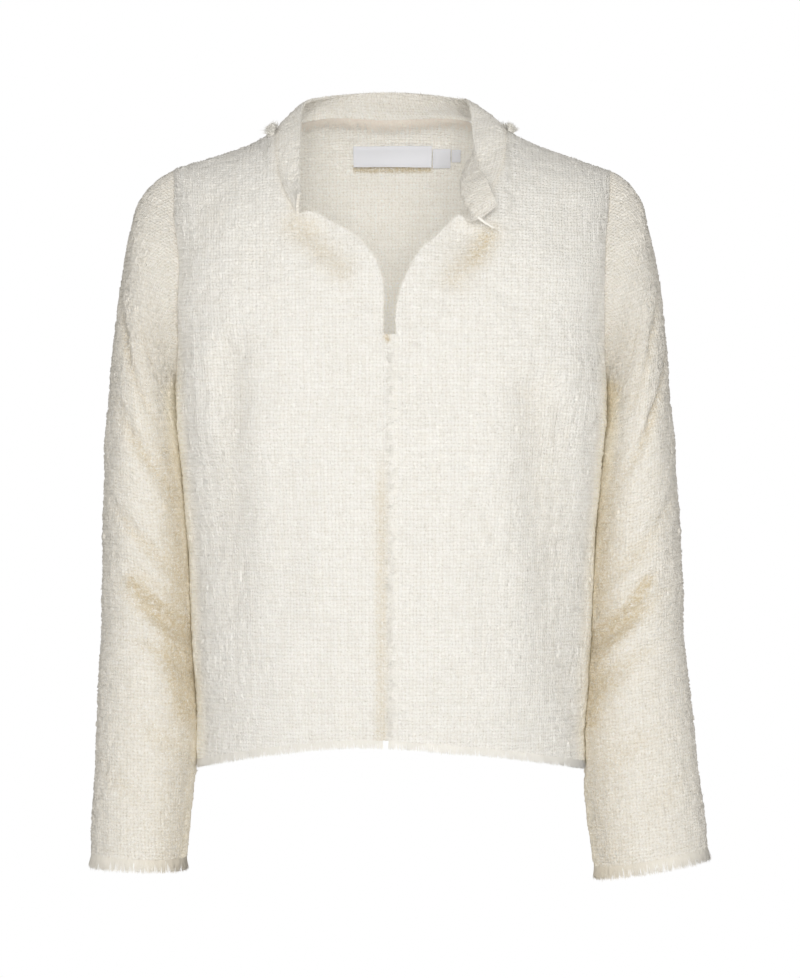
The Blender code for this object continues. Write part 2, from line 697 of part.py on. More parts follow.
def collar(name, grid, outer, finish):
    levels, count = grid.shape[:2]
    faces = []
    for row in range(levels - 1):
        for spot in range(count - 1):
            a = row * count + spot
            faces.append((a, a + 1, a + 1 + count, a + count))
    points, normals = grid.reshape(-1, 3), outer.reshape(-1, 3)
    return shell(name, points, normals, facing_out(points, normals, faces), finish)


# %% Labels


def label(row, inside_back, finish):
    """A small bare label that lies on the inside of the back."""
    x, z = np.meshgrid(
        np.linspace(row["left"], row["right"], max(2, round((row["right"] - row["left"]) / 6) + 1)),
        np.linspace(row["top"], row["bottom"], 3),
    )
    places = on_torso(BACK, x.ravel(), z.ravel())
    points, normals = torso(BACK, *places.T)
    points = laid_on(inside_back, points - normals * WALL, -normals, SEAM_GAP)
    columns = x.shape[1]
    faces = []
    for down in range(x.shape[0] - 1):
        for spot in range(columns - 1):
            a = down * columns + spot
            faces.append((a, a + columns, a + columns + 1, a + 1))
    faces = facing_out(points, normals, faces)
    return shell(row["name"], points, normals, faces, finish, wall=LABEL_WALL, gap=0.0)


# %% Frayed edges


def fringe(name, path, down, out, length, seed, finish, strip=STRIP, closed=False):
    """A narrow woven strip along a path, with a lock of threads standing from every second cell.
    The strip's top runs along the path, down is the way the locks hang, and out is its front."""
    draw = random.Random(seed)
    count = len(path)
    out = unit(out)
    down = unit(down)
    half = out * STRIP_WALL / 2
    foot = path + down * strip
    points = [*(path + half), *(path - half), *(foot + half), *(foot - half)]
    cells = count if closed else count - 1
    faces = []
    for cell in range(cells):
        a, b = cell, (cell + 1) % count
        faces += [
            (a, b, b + count, a + count),
            (a, a + 2 * count, b + 2 * count, b),
            (a + count, b + count, b + 3 * count, a + 3 * count),
        ]
        if cell % 2 == 1:
            faces.append((a + 2 * count, a + 3 * count, b + 3 * count, b + 2 * count))
            continue
        middle = (foot[a] + foot[b]) / 2
        lean = (foot[b] - foot[a]) * draw.uniform(-0.5, 0.5)
        tip = middle + lean + unit(down[a] + down[b]) * length * draw.uniform(0.8, 1.0)
        spread = (foot[b] - foot[a]) / 2 * LOCK_TAPER
        near, far = len(points), len(points) + 1
        points += [tip - spread, tip + spread]
        faces += [
            (a + 2 * count, near, far, b + 2 * count),
            (a + 3 * count, b + 3 * count, far, near),
            (a + 2 * count, a + 3 * count, near),
            (b + 2 * count, far, b + 3 * count),
        ]
    if not closed:
        last = count - 1
        faces += [(0, count, 3 * count, 2 * count)]
        faces += [(last, last + 2 * count, last + 3 * count, last + count)]
    return add_solid(name, np.array([tuple(point) for point in points]), faces, finish)


def hem_fringe(name, face, start, end, locks, seed, finish):
    """The frayed hem between two places along it, in line with the middle of the wall."""
    line = hem_line(start, end, 2 * locks)
    points, normals = torso(face, *line.T)
    above = torso(face, line[:, 0], line[:, 1] + NEAR_V)[0]
    down = unit(points - above)
    along = unit(np.gradient(points, axis=0))
    along[1:-1] = 0.0
    along[-1] *= -1
    path = points - normals * WALL / 2 + down * SEAM_GAP + along * SEAM_GAP / 2
    return fringe(name, path, down, normals, HEM_LOCKS["length"], seed, finish)


def cuff_fringe(name, rings, normals, seed, finish):
    count = 2 * CUFF_LOCKS["count"]
    edge = np.concatenate([rings[-1], rings[-1][:1]])
    picked = evenly(edge, count + 1)[:-1]
    points = taken(edge, picked)
    out = unit(taken(np.concatenate([normals[-1], normals[-1][:1]]), picked))
    above = taken(np.concatenate([rings[-2], rings[-2][:1]]), picked)
    down = unit(points - above)
    path = points - out * WALL / 2 + down * SEAM_GAP
    return fringe(name, path, down + out * CUFF_FLARE, out, CUFF_LOCKS["length"], seed, finish, closed=True)


def edge_fringe(name, side, finish):
    """The frayed front edge: its locks lie level, across the gap between the fronts."""
    line = edge_line(side, 2 * EDGE_LOCKS["count"])
    line = line[1:-1]
    points, normals = torso(FRONT, *line.T)
    across = np.tile([-float(side), 0.0, 0.0], (len(points), 1))
    across = unit(across - normals * (across * normals).sum(axis=1, keepdims=True))
    path = points - normals * WALL / 2 + across * SEAM_GAP
    return fringe(name, path, across, normals, EDGE_LOCKS["length"], EDGE_SEED, finish, EDGE_STRIP)


def neck_side_fringe(name, side, body, finish):
    """The frayed neck seam where it stands up beside the collar, over the shoulder."""
    points, normals, outward = neck_seam_points()
    nearest = np.argmin(np.abs(points - np.array([side * NECK_X, 0.0, 0.0])).sum(axis=1))
    stretch = slice(nearest - 2, nearest + 2)
    part = [values[stretch] for values in (points, normals, outward)]
    picked = evenly(part[0], 2 * NECK_LOCKS["side"])
    points, normals, outward = [taken(values, picked) for values in part]
    foot = laid_on(body, points + outward * (WALL + NECK_OUTSET), normals, 2 * SEAM_GAP)
    rise = unit(normals * 0.3 + outward * 0.1 + np.array([0.0, 0.0, 1.0]))
    return fringe(name, foot, rise, outward, NECK_LOCKS["side_length"], NECK_SEED + side, finish)


def neck_back_fringe(name, inside_back, finish):
    """The same seam inside the back neck, its frayed edge hanging down over the cloth."""
    line = neck_back_line(2 * NECK_LOCKS["back"] + 4)[2:-2]
    points, normals = torso(BACK, *line.T)
    below = torso(BACK, line[:, 0], line[:, 1] - NEAR_V)[0]
    down = unit(below - points)
    path = points + down * NECK_DROP - normals * WALL
    path = laid_on(inside_back, path, -normals, 2 * SEAM_GAP + STRIP_WALL / 2)
    return fringe(name, path, down, normals, NECK_LOCKS["back_length"], NECK_BACK_SEED, finish)


# %% The jacket


def clear_scene():
    for item in list(bpy.data.objects):
        bpy.data.objects.remove(item, do_unlink=True)


def front_outline(side):
    """Up the edge from the hem, round the neck, over the shoulder and down to the hem again."""
    opening = line_of(FRONT, OPEN_EDGE[side], side, 15, False)
    edge = edge_line(side)
    opening[-1] = edge[0]
    neck = line_of(FRONT, NECK_SEAM[side], side, NECK_POINTS, True)
    opening[0] = neck[-1]
    shoulder = shoulder_line(FRONT, side)
    neck[0] = shoulder[-1]
    armhole = armhole_line(FRONT, side)
    armhole[0] = shoulder[0]
    armhole[-1] = (side, 1.0)
    seam = side_seam(side)
    hem = hem_line(edge[-1, 0], side, 13)
    return joined(edge[::-1], opening[::-1], neck[::-1], shoulder[::-1], armhole, seam[::-1], hem[::-1])


def back_outline():
    sides = {}
    for side in (RIGHT, LEFT):
        armhole = armhole_line(BACK, side)
        shoulder = shoulder_line(BACK, side)
        armhole[0] = shoulder[0]
        armhole[-1] = (side, 1.0)
        sides[side] = joined(side_seam(side), armhole[::-1], shoulder)
    neck = neck_back_line()
    hem = hem_line(LEFT, RIGHT, 25)
    left = sides[LEFT][::-1]
    corner = shoulder_line(BACK, LEFT)[-1:]
    return np.concatenate([sides[RIGHT], neck[:-1], corner, left[:-1], hem[:-1]])


def build_jacket():
    clear_scene()
    tweed = material("tweed", TWEED, 0.85)
    frayed = material("frayed_yarn", FRAYED, 0.8)
    white = material("label_cloth", LABEL_WHITE, 0.6)

    sleeves = {side: sleeve_rings(side) for side in (RIGHT, LEFT)}
    grid, outer = collar_grid()
    necks, back_neck = neck_seams(outer[0])
    fronts = {}
    half = SLEEVE_SIDES // 2
    for side, name in ((RIGHT, "right"), (LEFT, "left")):
        rings, normals = sleeves[side]
        sleeve("sleeve_" + name, side, rings, normals, tweed)
        front_seam = (armhole_line(FRONT, side), normals[0][: half + 1])
        outline = front_outline(side)
        if side == RIGHT:
            outline = outline[::-1]
        fronts[side] = body_panel("front_" + name, FRONT, outline, [front_seam, necks[side]], tweed)
        cuff_fringe("cuff_fringe_" + name, rings, normals, CUFF_SEED + side, frayed)
        start = edge_line(side)[-1, 0]
        locks = HEM_LOCKS["strip_locks"]
        hem_fringe("hem_fringe_" + name, FRONT, start, side, locks, HEM_SEED + side, frayed)

    seams = [back_neck]
    for side in (RIGHT, LEFT):
        normals = sleeves[side][1][0]
        back_normals = np.concatenate([normals[:1], normals[half:][::-1]])
        seams.append((armhole_line(BACK, side), back_normals))
    back = body_panel("back", BACK, back_outline(), seams, tweed)
    hem_fringe("hem_fringe_back", BACK, RIGHT, LEFT, HEM_LOCKS["back_locks"], HEM_BACK_SEED, frayed)
    edge_fringe("front_fringe_left", LEFT, frayed)

    body = surface_of(back, *fronts.values())
    inside_back = surface_of(back)
    collar("collar", grid, outer, tweed)
    neck_side_fringe("neck_fringe_right", RIGHT, body, frayed)
    neck_side_fringe("neck_fringe_left", LEFT, body, frayed)
    neck_back_fringe("neck_fringe_back", inside_back, frayed)
    for row in rows(LABELS):
        label(row, inside_back, white)


build_jacket()
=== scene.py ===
# %% [markdown]
# # A cropped tweed jacket with frayed edges
#
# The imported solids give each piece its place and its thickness, but they are smooth and plain.
# Here each one is rebuilt as cloth: a fine mesh on the same surface, with the weave, the soft
# creases, the raw edges and the loose yarn that make the jacket what it is. Sizes are in
# millimetres while a shape is worked out, and become metres when its mesh is made.

import math

import bpy
import numpy as np
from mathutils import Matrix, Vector
from mathutils.geometry import delaunay_2d_cdt
from mathutils.kdtree import KDTree


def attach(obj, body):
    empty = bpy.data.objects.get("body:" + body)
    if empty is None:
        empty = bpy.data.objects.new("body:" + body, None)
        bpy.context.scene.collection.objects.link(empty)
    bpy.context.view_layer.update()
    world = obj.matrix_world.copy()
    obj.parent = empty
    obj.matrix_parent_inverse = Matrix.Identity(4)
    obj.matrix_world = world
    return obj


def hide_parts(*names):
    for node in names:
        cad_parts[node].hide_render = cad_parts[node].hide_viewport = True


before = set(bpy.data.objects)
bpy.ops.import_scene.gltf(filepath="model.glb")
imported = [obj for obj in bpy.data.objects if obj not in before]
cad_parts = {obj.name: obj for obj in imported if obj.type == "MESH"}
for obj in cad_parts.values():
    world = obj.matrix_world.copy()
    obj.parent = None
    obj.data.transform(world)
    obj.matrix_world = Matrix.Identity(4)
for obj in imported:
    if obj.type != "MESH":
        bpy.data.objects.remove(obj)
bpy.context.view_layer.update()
METRES = 0.001
FRONT, BACK = -1, 1
RIGHT, LEFT = -1, 1
SIDE_NAME = {RIGHT: "right", LEFT: "left"}


# %% [markdown]
# ## Camera and light
#
# The camera stands level with the middle of the jacket, three metres off, so there is little
# perspective. A long lens fills the frame. A wide soft key light above the camera, a weak fill at
# each side and a pale surround give the even, gentle shading of a studio picture. A lamp behind
# does the same for the back. The surround looks white but sends out less light than it seems to,
# so that folds keep their shade. One strong lamp alone would be simpler, but its shadows are hard.

# %% Camera
CAMERA_DISTANCE = 3.0
CAMERA_X = 7.4
CAMERA_Z = -312.2
FRAME_HEIGHT = 850.5
SENSOR = 24.0


def studio_camera():
    lens = bpy.data.cameras.new("studio_camera")
    lens.sensor_fit = "VERTICAL"
    lens.sensor_height = SENSOR
    lens.lens = SENSOR * CAMERA_DISTANCE / (FRAME_HEIGHT * METRES)
    camera = bpy.data.objects.new("studio_camera", lens)
    camera.location = (CAMERA_X * METRES, -CAMERA_DISTANCE, CAMERA_Z * METRES)
    camera.rotation_euler = (math.radians(90), 0, 0)
    bpy.context.scene.collection.objects.link(camera)
    bpy.context.scene.camera = camera
    return camera


studio_camera()
print("lens in mm:", round(bpy.context.scene.camera.data.lens, 2))

# %% Lights and surround
WHITE = (1.0, 1.0, 1.0)
WARM = (1.0, 0.967, 0.90)
LAMPS = dict(
    name=("key", "left_fill", "right_fill", "back_light"),
    place=((0.05, -3.2, 0.3), (2.4, -1.7, 0.1), (-2.4, -1.7, 0.1), (0.2, 3.2, 0.2)),
    aim=((0.0, 0.0, -0.36), (0.0, 0.0, -0.3), (0.0, 0.0, -0.3), (0.0, 0.0, -0.36)),
    size=((1.9, 1.6), (1.4, 1.8), (1.4, 1.8), (1.5, 1.3)),
    power=(63.5, 7.0, 7.0, 42.0),
    colour=((1.0, 0.995, 0.98), (1.0, 0.965, 0.89), (1.0, 0.965, 0.89), (1.0, 0.99, 0.97)),
)


def rows(table):
    """The rows of a table whose columns have names, each as a dictionary."""
    return [dict(zip(table, row)) for row in zip(*table.values())]


def soft_light(name, place, aim, size, power, colour):
    lamp = bpy.data.lights.new(name, "AREA")
    lamp.shape = "RECTANGLE"
    lamp.size, lamp.size_y = size
    lamp.energy = power
    lamp.color = colour
    light = bpy.data.objects.new(name, lamp)
    light.location = place
    light.rotation_euler = (Vector(aim) - Vector(place)).to_track_quat("-Z", "Y").to_euler()
    bpy.context.scene.collection.objects.link(light)
    return light


def surround(strength_seen, colour_seen, strength_lit, colour_lit):
    """A background with one look for the camera and another for the light that it sends out."""
    world = bpy.data.worlds.new("studio_surround")
    bpy.context.scene.world = world
    world.use_nodes = True
    nodes, links = world.node_tree.nodes, world.node_tree.links
    nodes.clear()
    path = nodes.new("ShaderNodeLightPath")
    pick = nodes.new("ShaderNodeMix")
    pick.data_type = "FLOAT"
    pick.inputs["A"].default_value = strength_lit
    pick.inputs["B"].default_value = strength_seen
    tint = nodes.new("ShaderNodeMix")
    tint.data_type = "RGBA"
    tint.inputs[6].default_value = (*colour_lit, 1.0)
    tint.inputs[7].default_value = (*colour_seen, 1.0)
    glow = nodes.new("ShaderNodeBackground")
    out = nodes.new("ShaderNodeOutputWorld")
    links.new(path.outputs["Is Camera Ray"], pick.inputs["Factor"])
    links.new(path.outputs["Is Camera Ray"], tint.inputs[0])
    links.new(tint.outputs[2], glow.inputs["Color"])
    links.new(pick.outputs["Result"], glow.inputs["Strength"])
    links.new(glow.outputs["Background"], out.inputs["Surface"])


for lamp in rows(LAMPS):
    soft_light(**lamp)
surround(1.0, WHITE, 0.37, WARM)
bpy.context.scene.view_settings.view_transform = "Standard"
print("lamps:", LAMPS["name"])

# %% [markdown]
# ## Tables and curves
#
# A garment's shape is smooth, so a short table with a row for each section is enough. `smooth`
# reads a column of such a table between its rows, with a cubic that passes through them all. A
# sculpted mesh would also do, but a table is easy to read and to change.

# %% Curve helpers


def smooth(at, knots, values):
    """A smooth curve through a table's column, read at the places given."""
    knots = np.asarray(knots, float)
    values = np.asarray(values, float)
    slopes = np.gradient(values, knots)
    at = np.clip(np.asarray(at, float), knots[0], knots[-1])
    cell = np.clip(np.searchsorted(knots, at, side="right") - 1, 0, len(knots) - 2)
    width = knots[cell + 1] - knots[cell]
    t = (at - knots[cell]) / width
    start = (2 * t**3 - 3 * t**2 + 1) * values[cell] + (t**3 - 2 * t**2 + t) * width * slopes[cell]
    end = (3 * t**2 - 2 * t**3) * values[cell + 1] + (t**3 - t**2) * width * slopes[cell + 1]
    return start + end


def unit(vectors):
    return vectors / np.maximum(np.linalg.norm(vectors, axis=-1, keepdims=True), 1e-9)


def length_along(points, axis=0):
    """The distance along each run of points from its first point to each of them."""
    length = np.cumsum(np.linalg.norm(np.diff(points, axis=axis), axis=-1), axis=axis)
    start = np.zeros_like(np.take(length, [0], axis=axis))
    return np.concatenate([start, length], axis=axis)


def evenly(points, count):
    """The places, as fractions of the index, that divide a run of points into equal lengths."""
    length = length_along(points)
    return np.interp(np.linspace(0.0, length[-1], count), length, np.arange(len(points)))


def taken(values, places):
    """Values read at fractional places along their first axis."""
    index = np.arange(len(values))
    return np.stack([np.interp(places, index, column) for column in np.asarray(values).T], axis=1)


def quarter(angle, across, deep, roundness):
    """A point at this angle on a quarter of a rounded oval, as its two distances."""
    sine = np.abs(np.sin(angle))
    cosine = np.abs(np.cos(angle))
    reach = ((sine / across) ** roundness + (cosine / deep) ** roundness) ** (-1 / roundness)
    return reach * sine, reach * cosine


# %% [markdown]
# ## The body's surface
#
# The two fronts and the back lie on one rounded form. A place on it has two numbers: s runs from
# the right side seam round to the left one, and v from the hem by the underarm to the shoulder
# line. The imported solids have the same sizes, so the cloth lies in their place. Only the middle of
# the front hem hangs a few millimetres lower here.

# %% Sizes of the body
UNDERARM_Z = -228.0
SIDE_HEM_Z = -546.0
HEM_RISE = {FRONT: 29.0, BACK: 17.0}
HEM_TILT = 2.8
HEM_SAG = dict(
    x=(-170, -110, -80, 0, 55, 80, 110, 150, 170),
    drop=(0, 0.5, 2.0, 6.0, 3.0, 0, -2.0, -2.0, 0),
)
HEM_SPAN = 300.0
NECK_X = 99.6
SHOULDER_X = 190.0
NECK_RISE = 32.0
SHOULDER_WIDENING = 0.032
PROFILE_ROUNDNESS = {FRONT: 2.1, BACK: 3.1}
ARMHOLE_ROUNDNESS = 3.5
BACK_NECK_V = 1.627
FOLD_FADE = 0.12
RIDGE = 1e3
WALL = 2.0
SHOULDER = dict(
    x=(99.6, 112.0, 137.0, 162.0, 190.0, 200.0),
    z=(0.0, -8.0, -18.5, -26.5, -36.0, -39.5),
)
FRONT_EDGE_X = {RIGHT: -7.0, LEFT: 4.6}
HOOK_Z = -183.0
TORSO = dict(
    z=(-546.0, -526.0, -495.0, -425.0, -383.0, -337.0, -292.0, -255.0, -228.0),
    half_width=(168.0, 167.5, 169.5, 173.5, 175.0, 178.0, 182.0, 185.0, 186.0),
    front=(119.0, 120.0, 121.0, 123.0, 124.5, 126.0, 127.0, 126.0, 123.0),
    back=(102.0, 101.0, 100.0, 97.0, 96.0, 97.0, 99.0, 101.0, 102.0),
    squareness=(2.4, 2.4, 2.4, 2.4, 2.4, 2.5, 2.65, 2.85, 3.0),
)


def ridge_z(x):
    """Height of the shoulder line, and of the neck's rise between the two neck points."""
    inside = NECK_RISE * (1 - np.minimum(np.abs(x) / NECK_X, 1.0) ** 2)
    return inside + smooth(np.abs(x), SHOULDER["x"], SHOULDER["z"])


def bare_torso(face, s, v):
    """The body's cloth before its folds, for s from -1 to 1 and v from 0 to 2."""
    s = np.asarray(s, float)
    v = np.asarray(v, float)
    angle = np.abs(s) * math.pi / 2
    tilt = HEM_TILT * np.sign(s) * np.sin(2 * angle) if face == FRONT else 0.0
    hem = SIDE_HEM_Z + HEM_RISE[face] * np.cos(angle) ** 2 - tilt
    z = hem + (UNDERARM_Z - hem) * np.minimum(v, 1.0)
    half_width = smooth(z, TORSO["z"], TORSO["half_width"])
    deep = smooth(z, TORSO["z"], TORSO["front" if face == FRONT else "back"])
    x, y = quarter(angle, half_width, deep, smooth(z, TORSO["z"], TORSO["squareness"]))
    climb = np.clip(v - 1.0, 0.0, 1.0) * math.pi / 2
    roundness = PROFILE_ROUNDNESS[face]
    roundness = roundness + (ARMHOLE_ROUNDNESS - roundness) * np.abs(s) ** 4
    rise, keep = quarter(climb, 1.0, 1.0, roundness)
    x = x * (1 + SHOULDER_WIDENING * np.sin(climb))
    z = z + (ridge_z(x) - UNDERARM_Z) * rise
    y = y * np.sign(np.cos(angle) + 1e-12)
    return np.stack([np.sign(s) * x, face * y * keep, z], axis=-1)


def torso_normal(face, s, v):
    step = 1e-4
    v = np.clip(v, 0.002, 1.9985)
    across = bare_torso(face, s + step, v) - bare_torso(face, s - step, v)
    up = bare_torso(face, s, v + step) - bare_torso(face, s, v - step)
    normal = unit(np.cross(across, up))
    return normal if face == FRONT else -normal


# %% [markdown]
# ## Folds of the body
#
# Soft tweed doesn't crease sharply. It bends in broad shallow troughs: down from the shoulder,
# beside the armholes, and below the neck. Each is placed as a line with a width and a
# depth. The large ones are in the solids too; the small ones, and the gentle unevenness of a
# loosely woven cloth, are added here. A cloth simulation would fold where it liked.

# %% Folds of the body
BODY_FOLDS = dict(
    face=(-1, -1, -1, -1, -1, -1, -1, -1, 1, 1, 1, 1, 1),
    x0=(-136, 122, 146, -66, 58, -156, 150, -30, -120, 128, -60, 70, 0),
    z0=(-200, -236, -250, -96, -96, -70, -72, -520, -210, -230, -60, -66, -300),
    x1=(-134, 142, 150, -40, 46, -164, 142, -34, -132, 138, -120, 124, 6),
    z1=(-410, -470, -380, -118, -126, -104, -98, -470, -440, -460, -120, -130, -520),
    width=(17, 20, 12, 13, 15, 15, 13, 14, 20, 18, 18, 18, 26),
    depth=(7.0, 8.0, 3.0, 5.5, 7.0, 4.0, 3.5, 3.0, 7.0, 6.0, 4.0, 3.5, 5.0),
)
SMALL_FOLDS = dict(
    face=(-1, -1, -1, -1, -1, -1, -1, -1, -1, -1, 1, 1, 1, 1, 1, 1),
    x0=(-90, -60, 78, 96, -110, 60, -26, 24, -150, 158, -80, 84, -40, 46, -150, 152),
    z0=(
        *(-300, -430, -330, -150, -120, -470, -250, -300, -300, -520),
        *(-330, -300, -440, -450, -520, -500),
    ),
    x1=(-84, -66, 84, 118, -126, 66, -30, 28, -148, 152, -76, 90, -44, 40, -146, 150),
    z1=(
        *(-420, -520, -450, -190, -170, -530, -330, -400, -380, -450),
        *(-450, -420, -520, -530, -440, -430),
    ),
    width=(14, 12, 13, 10, 10, 11, 12, 12, 9, 10, 14, 13, 12, 12, 9, 9),
    depth=(1.6, 1.3, 1.5, 1.4, 1.5, 1.2, 1.1, 1.0, 1.6, 1.5, 1.5, 1.6, 1.2, 1.3, 1.5, 1.4),
)


def strokes(table, points):
    """The rows of a table of straight strokes drawn as seen from the front, each with how far
    along it every point lies, from 0 to 1, and how far away from it, as a share of its width."""
    seen = points[:, [0, 2]]
    for row in rows(table):
        start = np.array([row["x0"], row["z0"]], float)
        run = np.array([row["x1"], row["z1"]], float) - start
        along = np.clip((seen - start) @ run / (run @ run), 0.0, 1.0)
        away = np.linalg.norm(seen - start - along[:, None] * run, axis=1)
        yield row, along, away / row["width"]


def fold_depth(table, face, points):
    """How far a table's folds press the cloth in at these points."""
    total = np.zeros(len(points))
    for fold, along, away in strokes(table, points):
        if fold["face"] == face:
            total += fold["depth"] * np.exp(-(away**2)) * (0.6 + 0.4 * np.cos(along * 2))
    return total


def clear_of_seams(s, v):
    """0 at the side and shoulder seams, 1 a little way in from them."""
    return np.clip((1 - np.abs(s)) / FOLD_FADE, 0, 1) * np.clip((2 - v) / FOLD_FADE, 0, 1)


def torso(face, s, v):
    """Points of the cloth's outer face with its large folds, and its outward normals."""
    s = np.atleast_1d(np.asarray(s, float))
    v = np.atleast_1d(np.asarray(v, float))
    points = bare_torso(face, s, v)
    normals = torso_normal(face, s, v)
    pressed = fold_depth(BODY_FOLDS, face, points) * clear_of_seams(s, v)
    return points - normals * pressed[:, None], normals


print("body folds:", len(BODY_FOLDS["face"]), "large,", len(SMALL_FOLDS["face"]), "small")

# %% [markdown]
# ## Seam lines
#
# The armholes, the neck seam and the open edges are drawn as they look from the front. `on_torso`
# finds the place on the body behind each drawn point, by halving the search again and again.
# Cutting them with a Boolean would be quicker to write, but leaves no rows of points at the seams.

# %% Seams and edges
ARMHOLE_Z = (-36.0, -62.0, -100.0, -140.0, -180.0, -212.0, -228.0)
ARMHOLE = {
    FRONT: dict(x=(190.0, 188.0, 184.5, 182.5, 183.0, 185.0, 186.0), z=ARMHOLE_Z),
    BACK: dict(x=(190.0, 188.0, 184.0, 181.0, 182.0, 185.0, 186.0), z=ARMHOLE_Z),
}
NECK_SEAM = {
    RIGHT: dict(x=(99.6, 99.0, 96.0, 90.0, 80.0), z=(0.0, -20.0, -42.0, -62.0, -81.0)),
    LEFT: dict(x=(99.6, 98.0, 92.0, 82.0, 65.0), z=(0.0, -20.0, -44.0, -66.0, -86.0)),
}
OPEN_EDGE = {
    RIGHT: dict(
        x=(80.0, 68.8, 60.4, 47.7, 37.0, 26.5, 18.9, 13.0, 9.6, 7.1, 7.0),
        z=(-81.0, -78.5, -81.5, -89.0, -95.0, -103.5, -112.0, -120.6, -130.7, -142.0, -183.0),
    ),
    LEFT: dict(
        x=(65.0, 57.0, 46.8, 35.7, 27.3, 20.6, 14.7, 8.6, 5.4, 4.0, 4.6),
        z=(-86.0, -81.0, -90.0, -102.0, -109.0, -118.0, -129.0, -143.4, -156.0, -168.8, -183.0),
    ),
}


# %% Places on the body


def halved(count, top, falls_short):
    """For each of count values from 0 to top, the one at which falls_short stops being true."""
    low, high = np.zeros(count), np.full(count, top)
    for _ in range(30):
        middle = (low + high) / 2
        short = falls_short(middle)
        low, high = np.where(short, middle, low), np.where(short, high, middle)
    return (low + high) / 2


def on_torso(face, x, z):
    """s and v of the point that shows at x and z from the front. A z above the cloth, such as
    RIDGE, gives the point on the shoulder line."""
    v = np.full(len(x), 1.0)
    for _ in range(40):
        s = halved(len(x), 1.0, lambda tried: bare_torso(face, tried, v)[:, 0] < np.abs(x))
        found = halved(len(x), 2.0, lambda tried: bare_torso(face, s, tried)[:, 2] < z)
        moved = np.abs(v - found).max()
        v = found
        if moved < 1e-7:
            break
    return np.stack([np.sign(x + 1e-12) * s, v], axis=1)


def line_of(face, table, side, count, ridge_start):
    """A seam or edge that a table gives as seen from the front, in equal steps."""
    x = side * np.asarray(table["x"], float)
    z = np.asarray(table["z"], float)
    if ridge_start:
        z[0] = RIDGE
    places = on_torso(face, x, z)
    dense = np.linspace(0, len(x) - 1, 400)
    s = smooth(dense, np.arange(len(x)), places[:, 0])
    v = smooth(dense, np.arange(len(x)), places[:, 1])
    picked = evenly(bare_torso(face, s, v), count)
    return taken(np.stack([s, v], axis=1), picked)


# %% Seam and edge lines


def armhole_line(face, side, count):
    return line_of(face, ARMHOLE[face], side, count, True)


def shoulder_line(face, side, count):
    """From the shoulder point in to the neck point."""
    x = side * np.linspace(SHOULDER_X, NECK_X, count)
    return on_torso(face, x, np.full(count, RIDGE))


def neck_back_line(count):
    """The back neck seam, from the right neck point round to the left one."""
    edge = abs(shoulder_line(BACK, LEFT, 2)[-1, 0])
    turn = np.linspace(-math.pi / 2, math.pi / 2, count)
    return np.stack([edge * np.sin(turn), 2 - (2 - BACK_NECK_V) * np.cos(turn)], axis=1)


def edge_line(side, count):
    """The front edge from the hook down to the hem."""
    z = np.linspace(HOOK_Z, SIDE_HEM_Z + HEM_RISE[FRONT], count)
    line = on_torso(FRONT, np.full(count, FRONT_EDGE_X[side]), z)
    top = line[0, 1]
    line[:, 1] = top - (top - line[:, 1]) * (1 + hem_sag(line[-1:, 0])[0] / top)
    return line


def hem_sag(s):
    """How far below v = 0 the front hem hangs at each s, as a share of the side seam's height."""
    x = bare_torso(FRONT, s, np.zeros(len(s)))[:, 0]
    return smooth(x, HEM_SAG["x"], HEM_SAG["drop"]) / HEM_SPAN


def hem_line(face, start, end, count):
    s = np.linspace(start, end, count)
    return np.stack([s, -hem_sag(s) if face == FRONT else np.zeros(count)], axis=1)


def side_seam(side, count):
    return np.stack([np.full(count, float(side)), np.linspace(0.0, 1.0, count)], axis=1)


def joined(*lines):
    """Lines that run on from one another, as one closed outline with each corner kept once."""
    return np.concatenate([line[:-1] for line in lines])


# %% [markdown]
# ## The weave's own measure
#
# The yarns keep their spacing however the cloth is cut and bent, so the weave can't follow s and
# v. It follows the lie of the yarns: u is the distance round the body from its middle, and h the
# distance up the cloth from the underarm. A table of small steps turns one into the other.

# %% Distances over the cloth
PITCH = 3.05
GRID_S = np.linspace(-1.0, 1.0, 241)
GRID_V = np.linspace(-0.025, 2.0, 325)


def cloth_measure(face):
    """For each s of the grid its u, and for each s and v its h."""
    level = bare_torso(face, GRID_S, np.ones(len(GRID_S)))
    around = length_along(level)
    around -= np.interp(0.0, GRID_S, around)
    s, v = np.meshgrid(GRID_S, GRID_V, indexing="ij")
    points = bare_torso(face, s, v)
    up = length_along(points, axis=1)
    up -= up[:, [np.searchsorted(GRID_V, 1.0)]]
    return around, up


MEASURE = {face: cloth_measure(face) for face in (FRONT, BACK)}


def to_cloth(face, line):
    """u and h of places given as s and v."""
    around, up = MEASURE[face]
    column = np.interp(line[:, 0], GRID_S, np.arange(len(GRID_S)))
    low = np.clip(column.astype(int), 0, len(GRID_S) - 2)
    share = column - low
    row = np.interp(line[:, 1], GRID_V, np.arange(len(GRID_V)))
    under = np.clip(row.astype(int), 0, len(GRID_V) - 2)
    part = row - under
    first = up[low, under] * (1 - part) + up[low, under + 1] * part
    second = up[low + 1, under] * (1 - part) + up[low + 1, under + 1] * part
    h = first * (1 - share) + second * share
    return np.stack([np.interp(line[:, 0], GRID_S, around), h], axis=1)


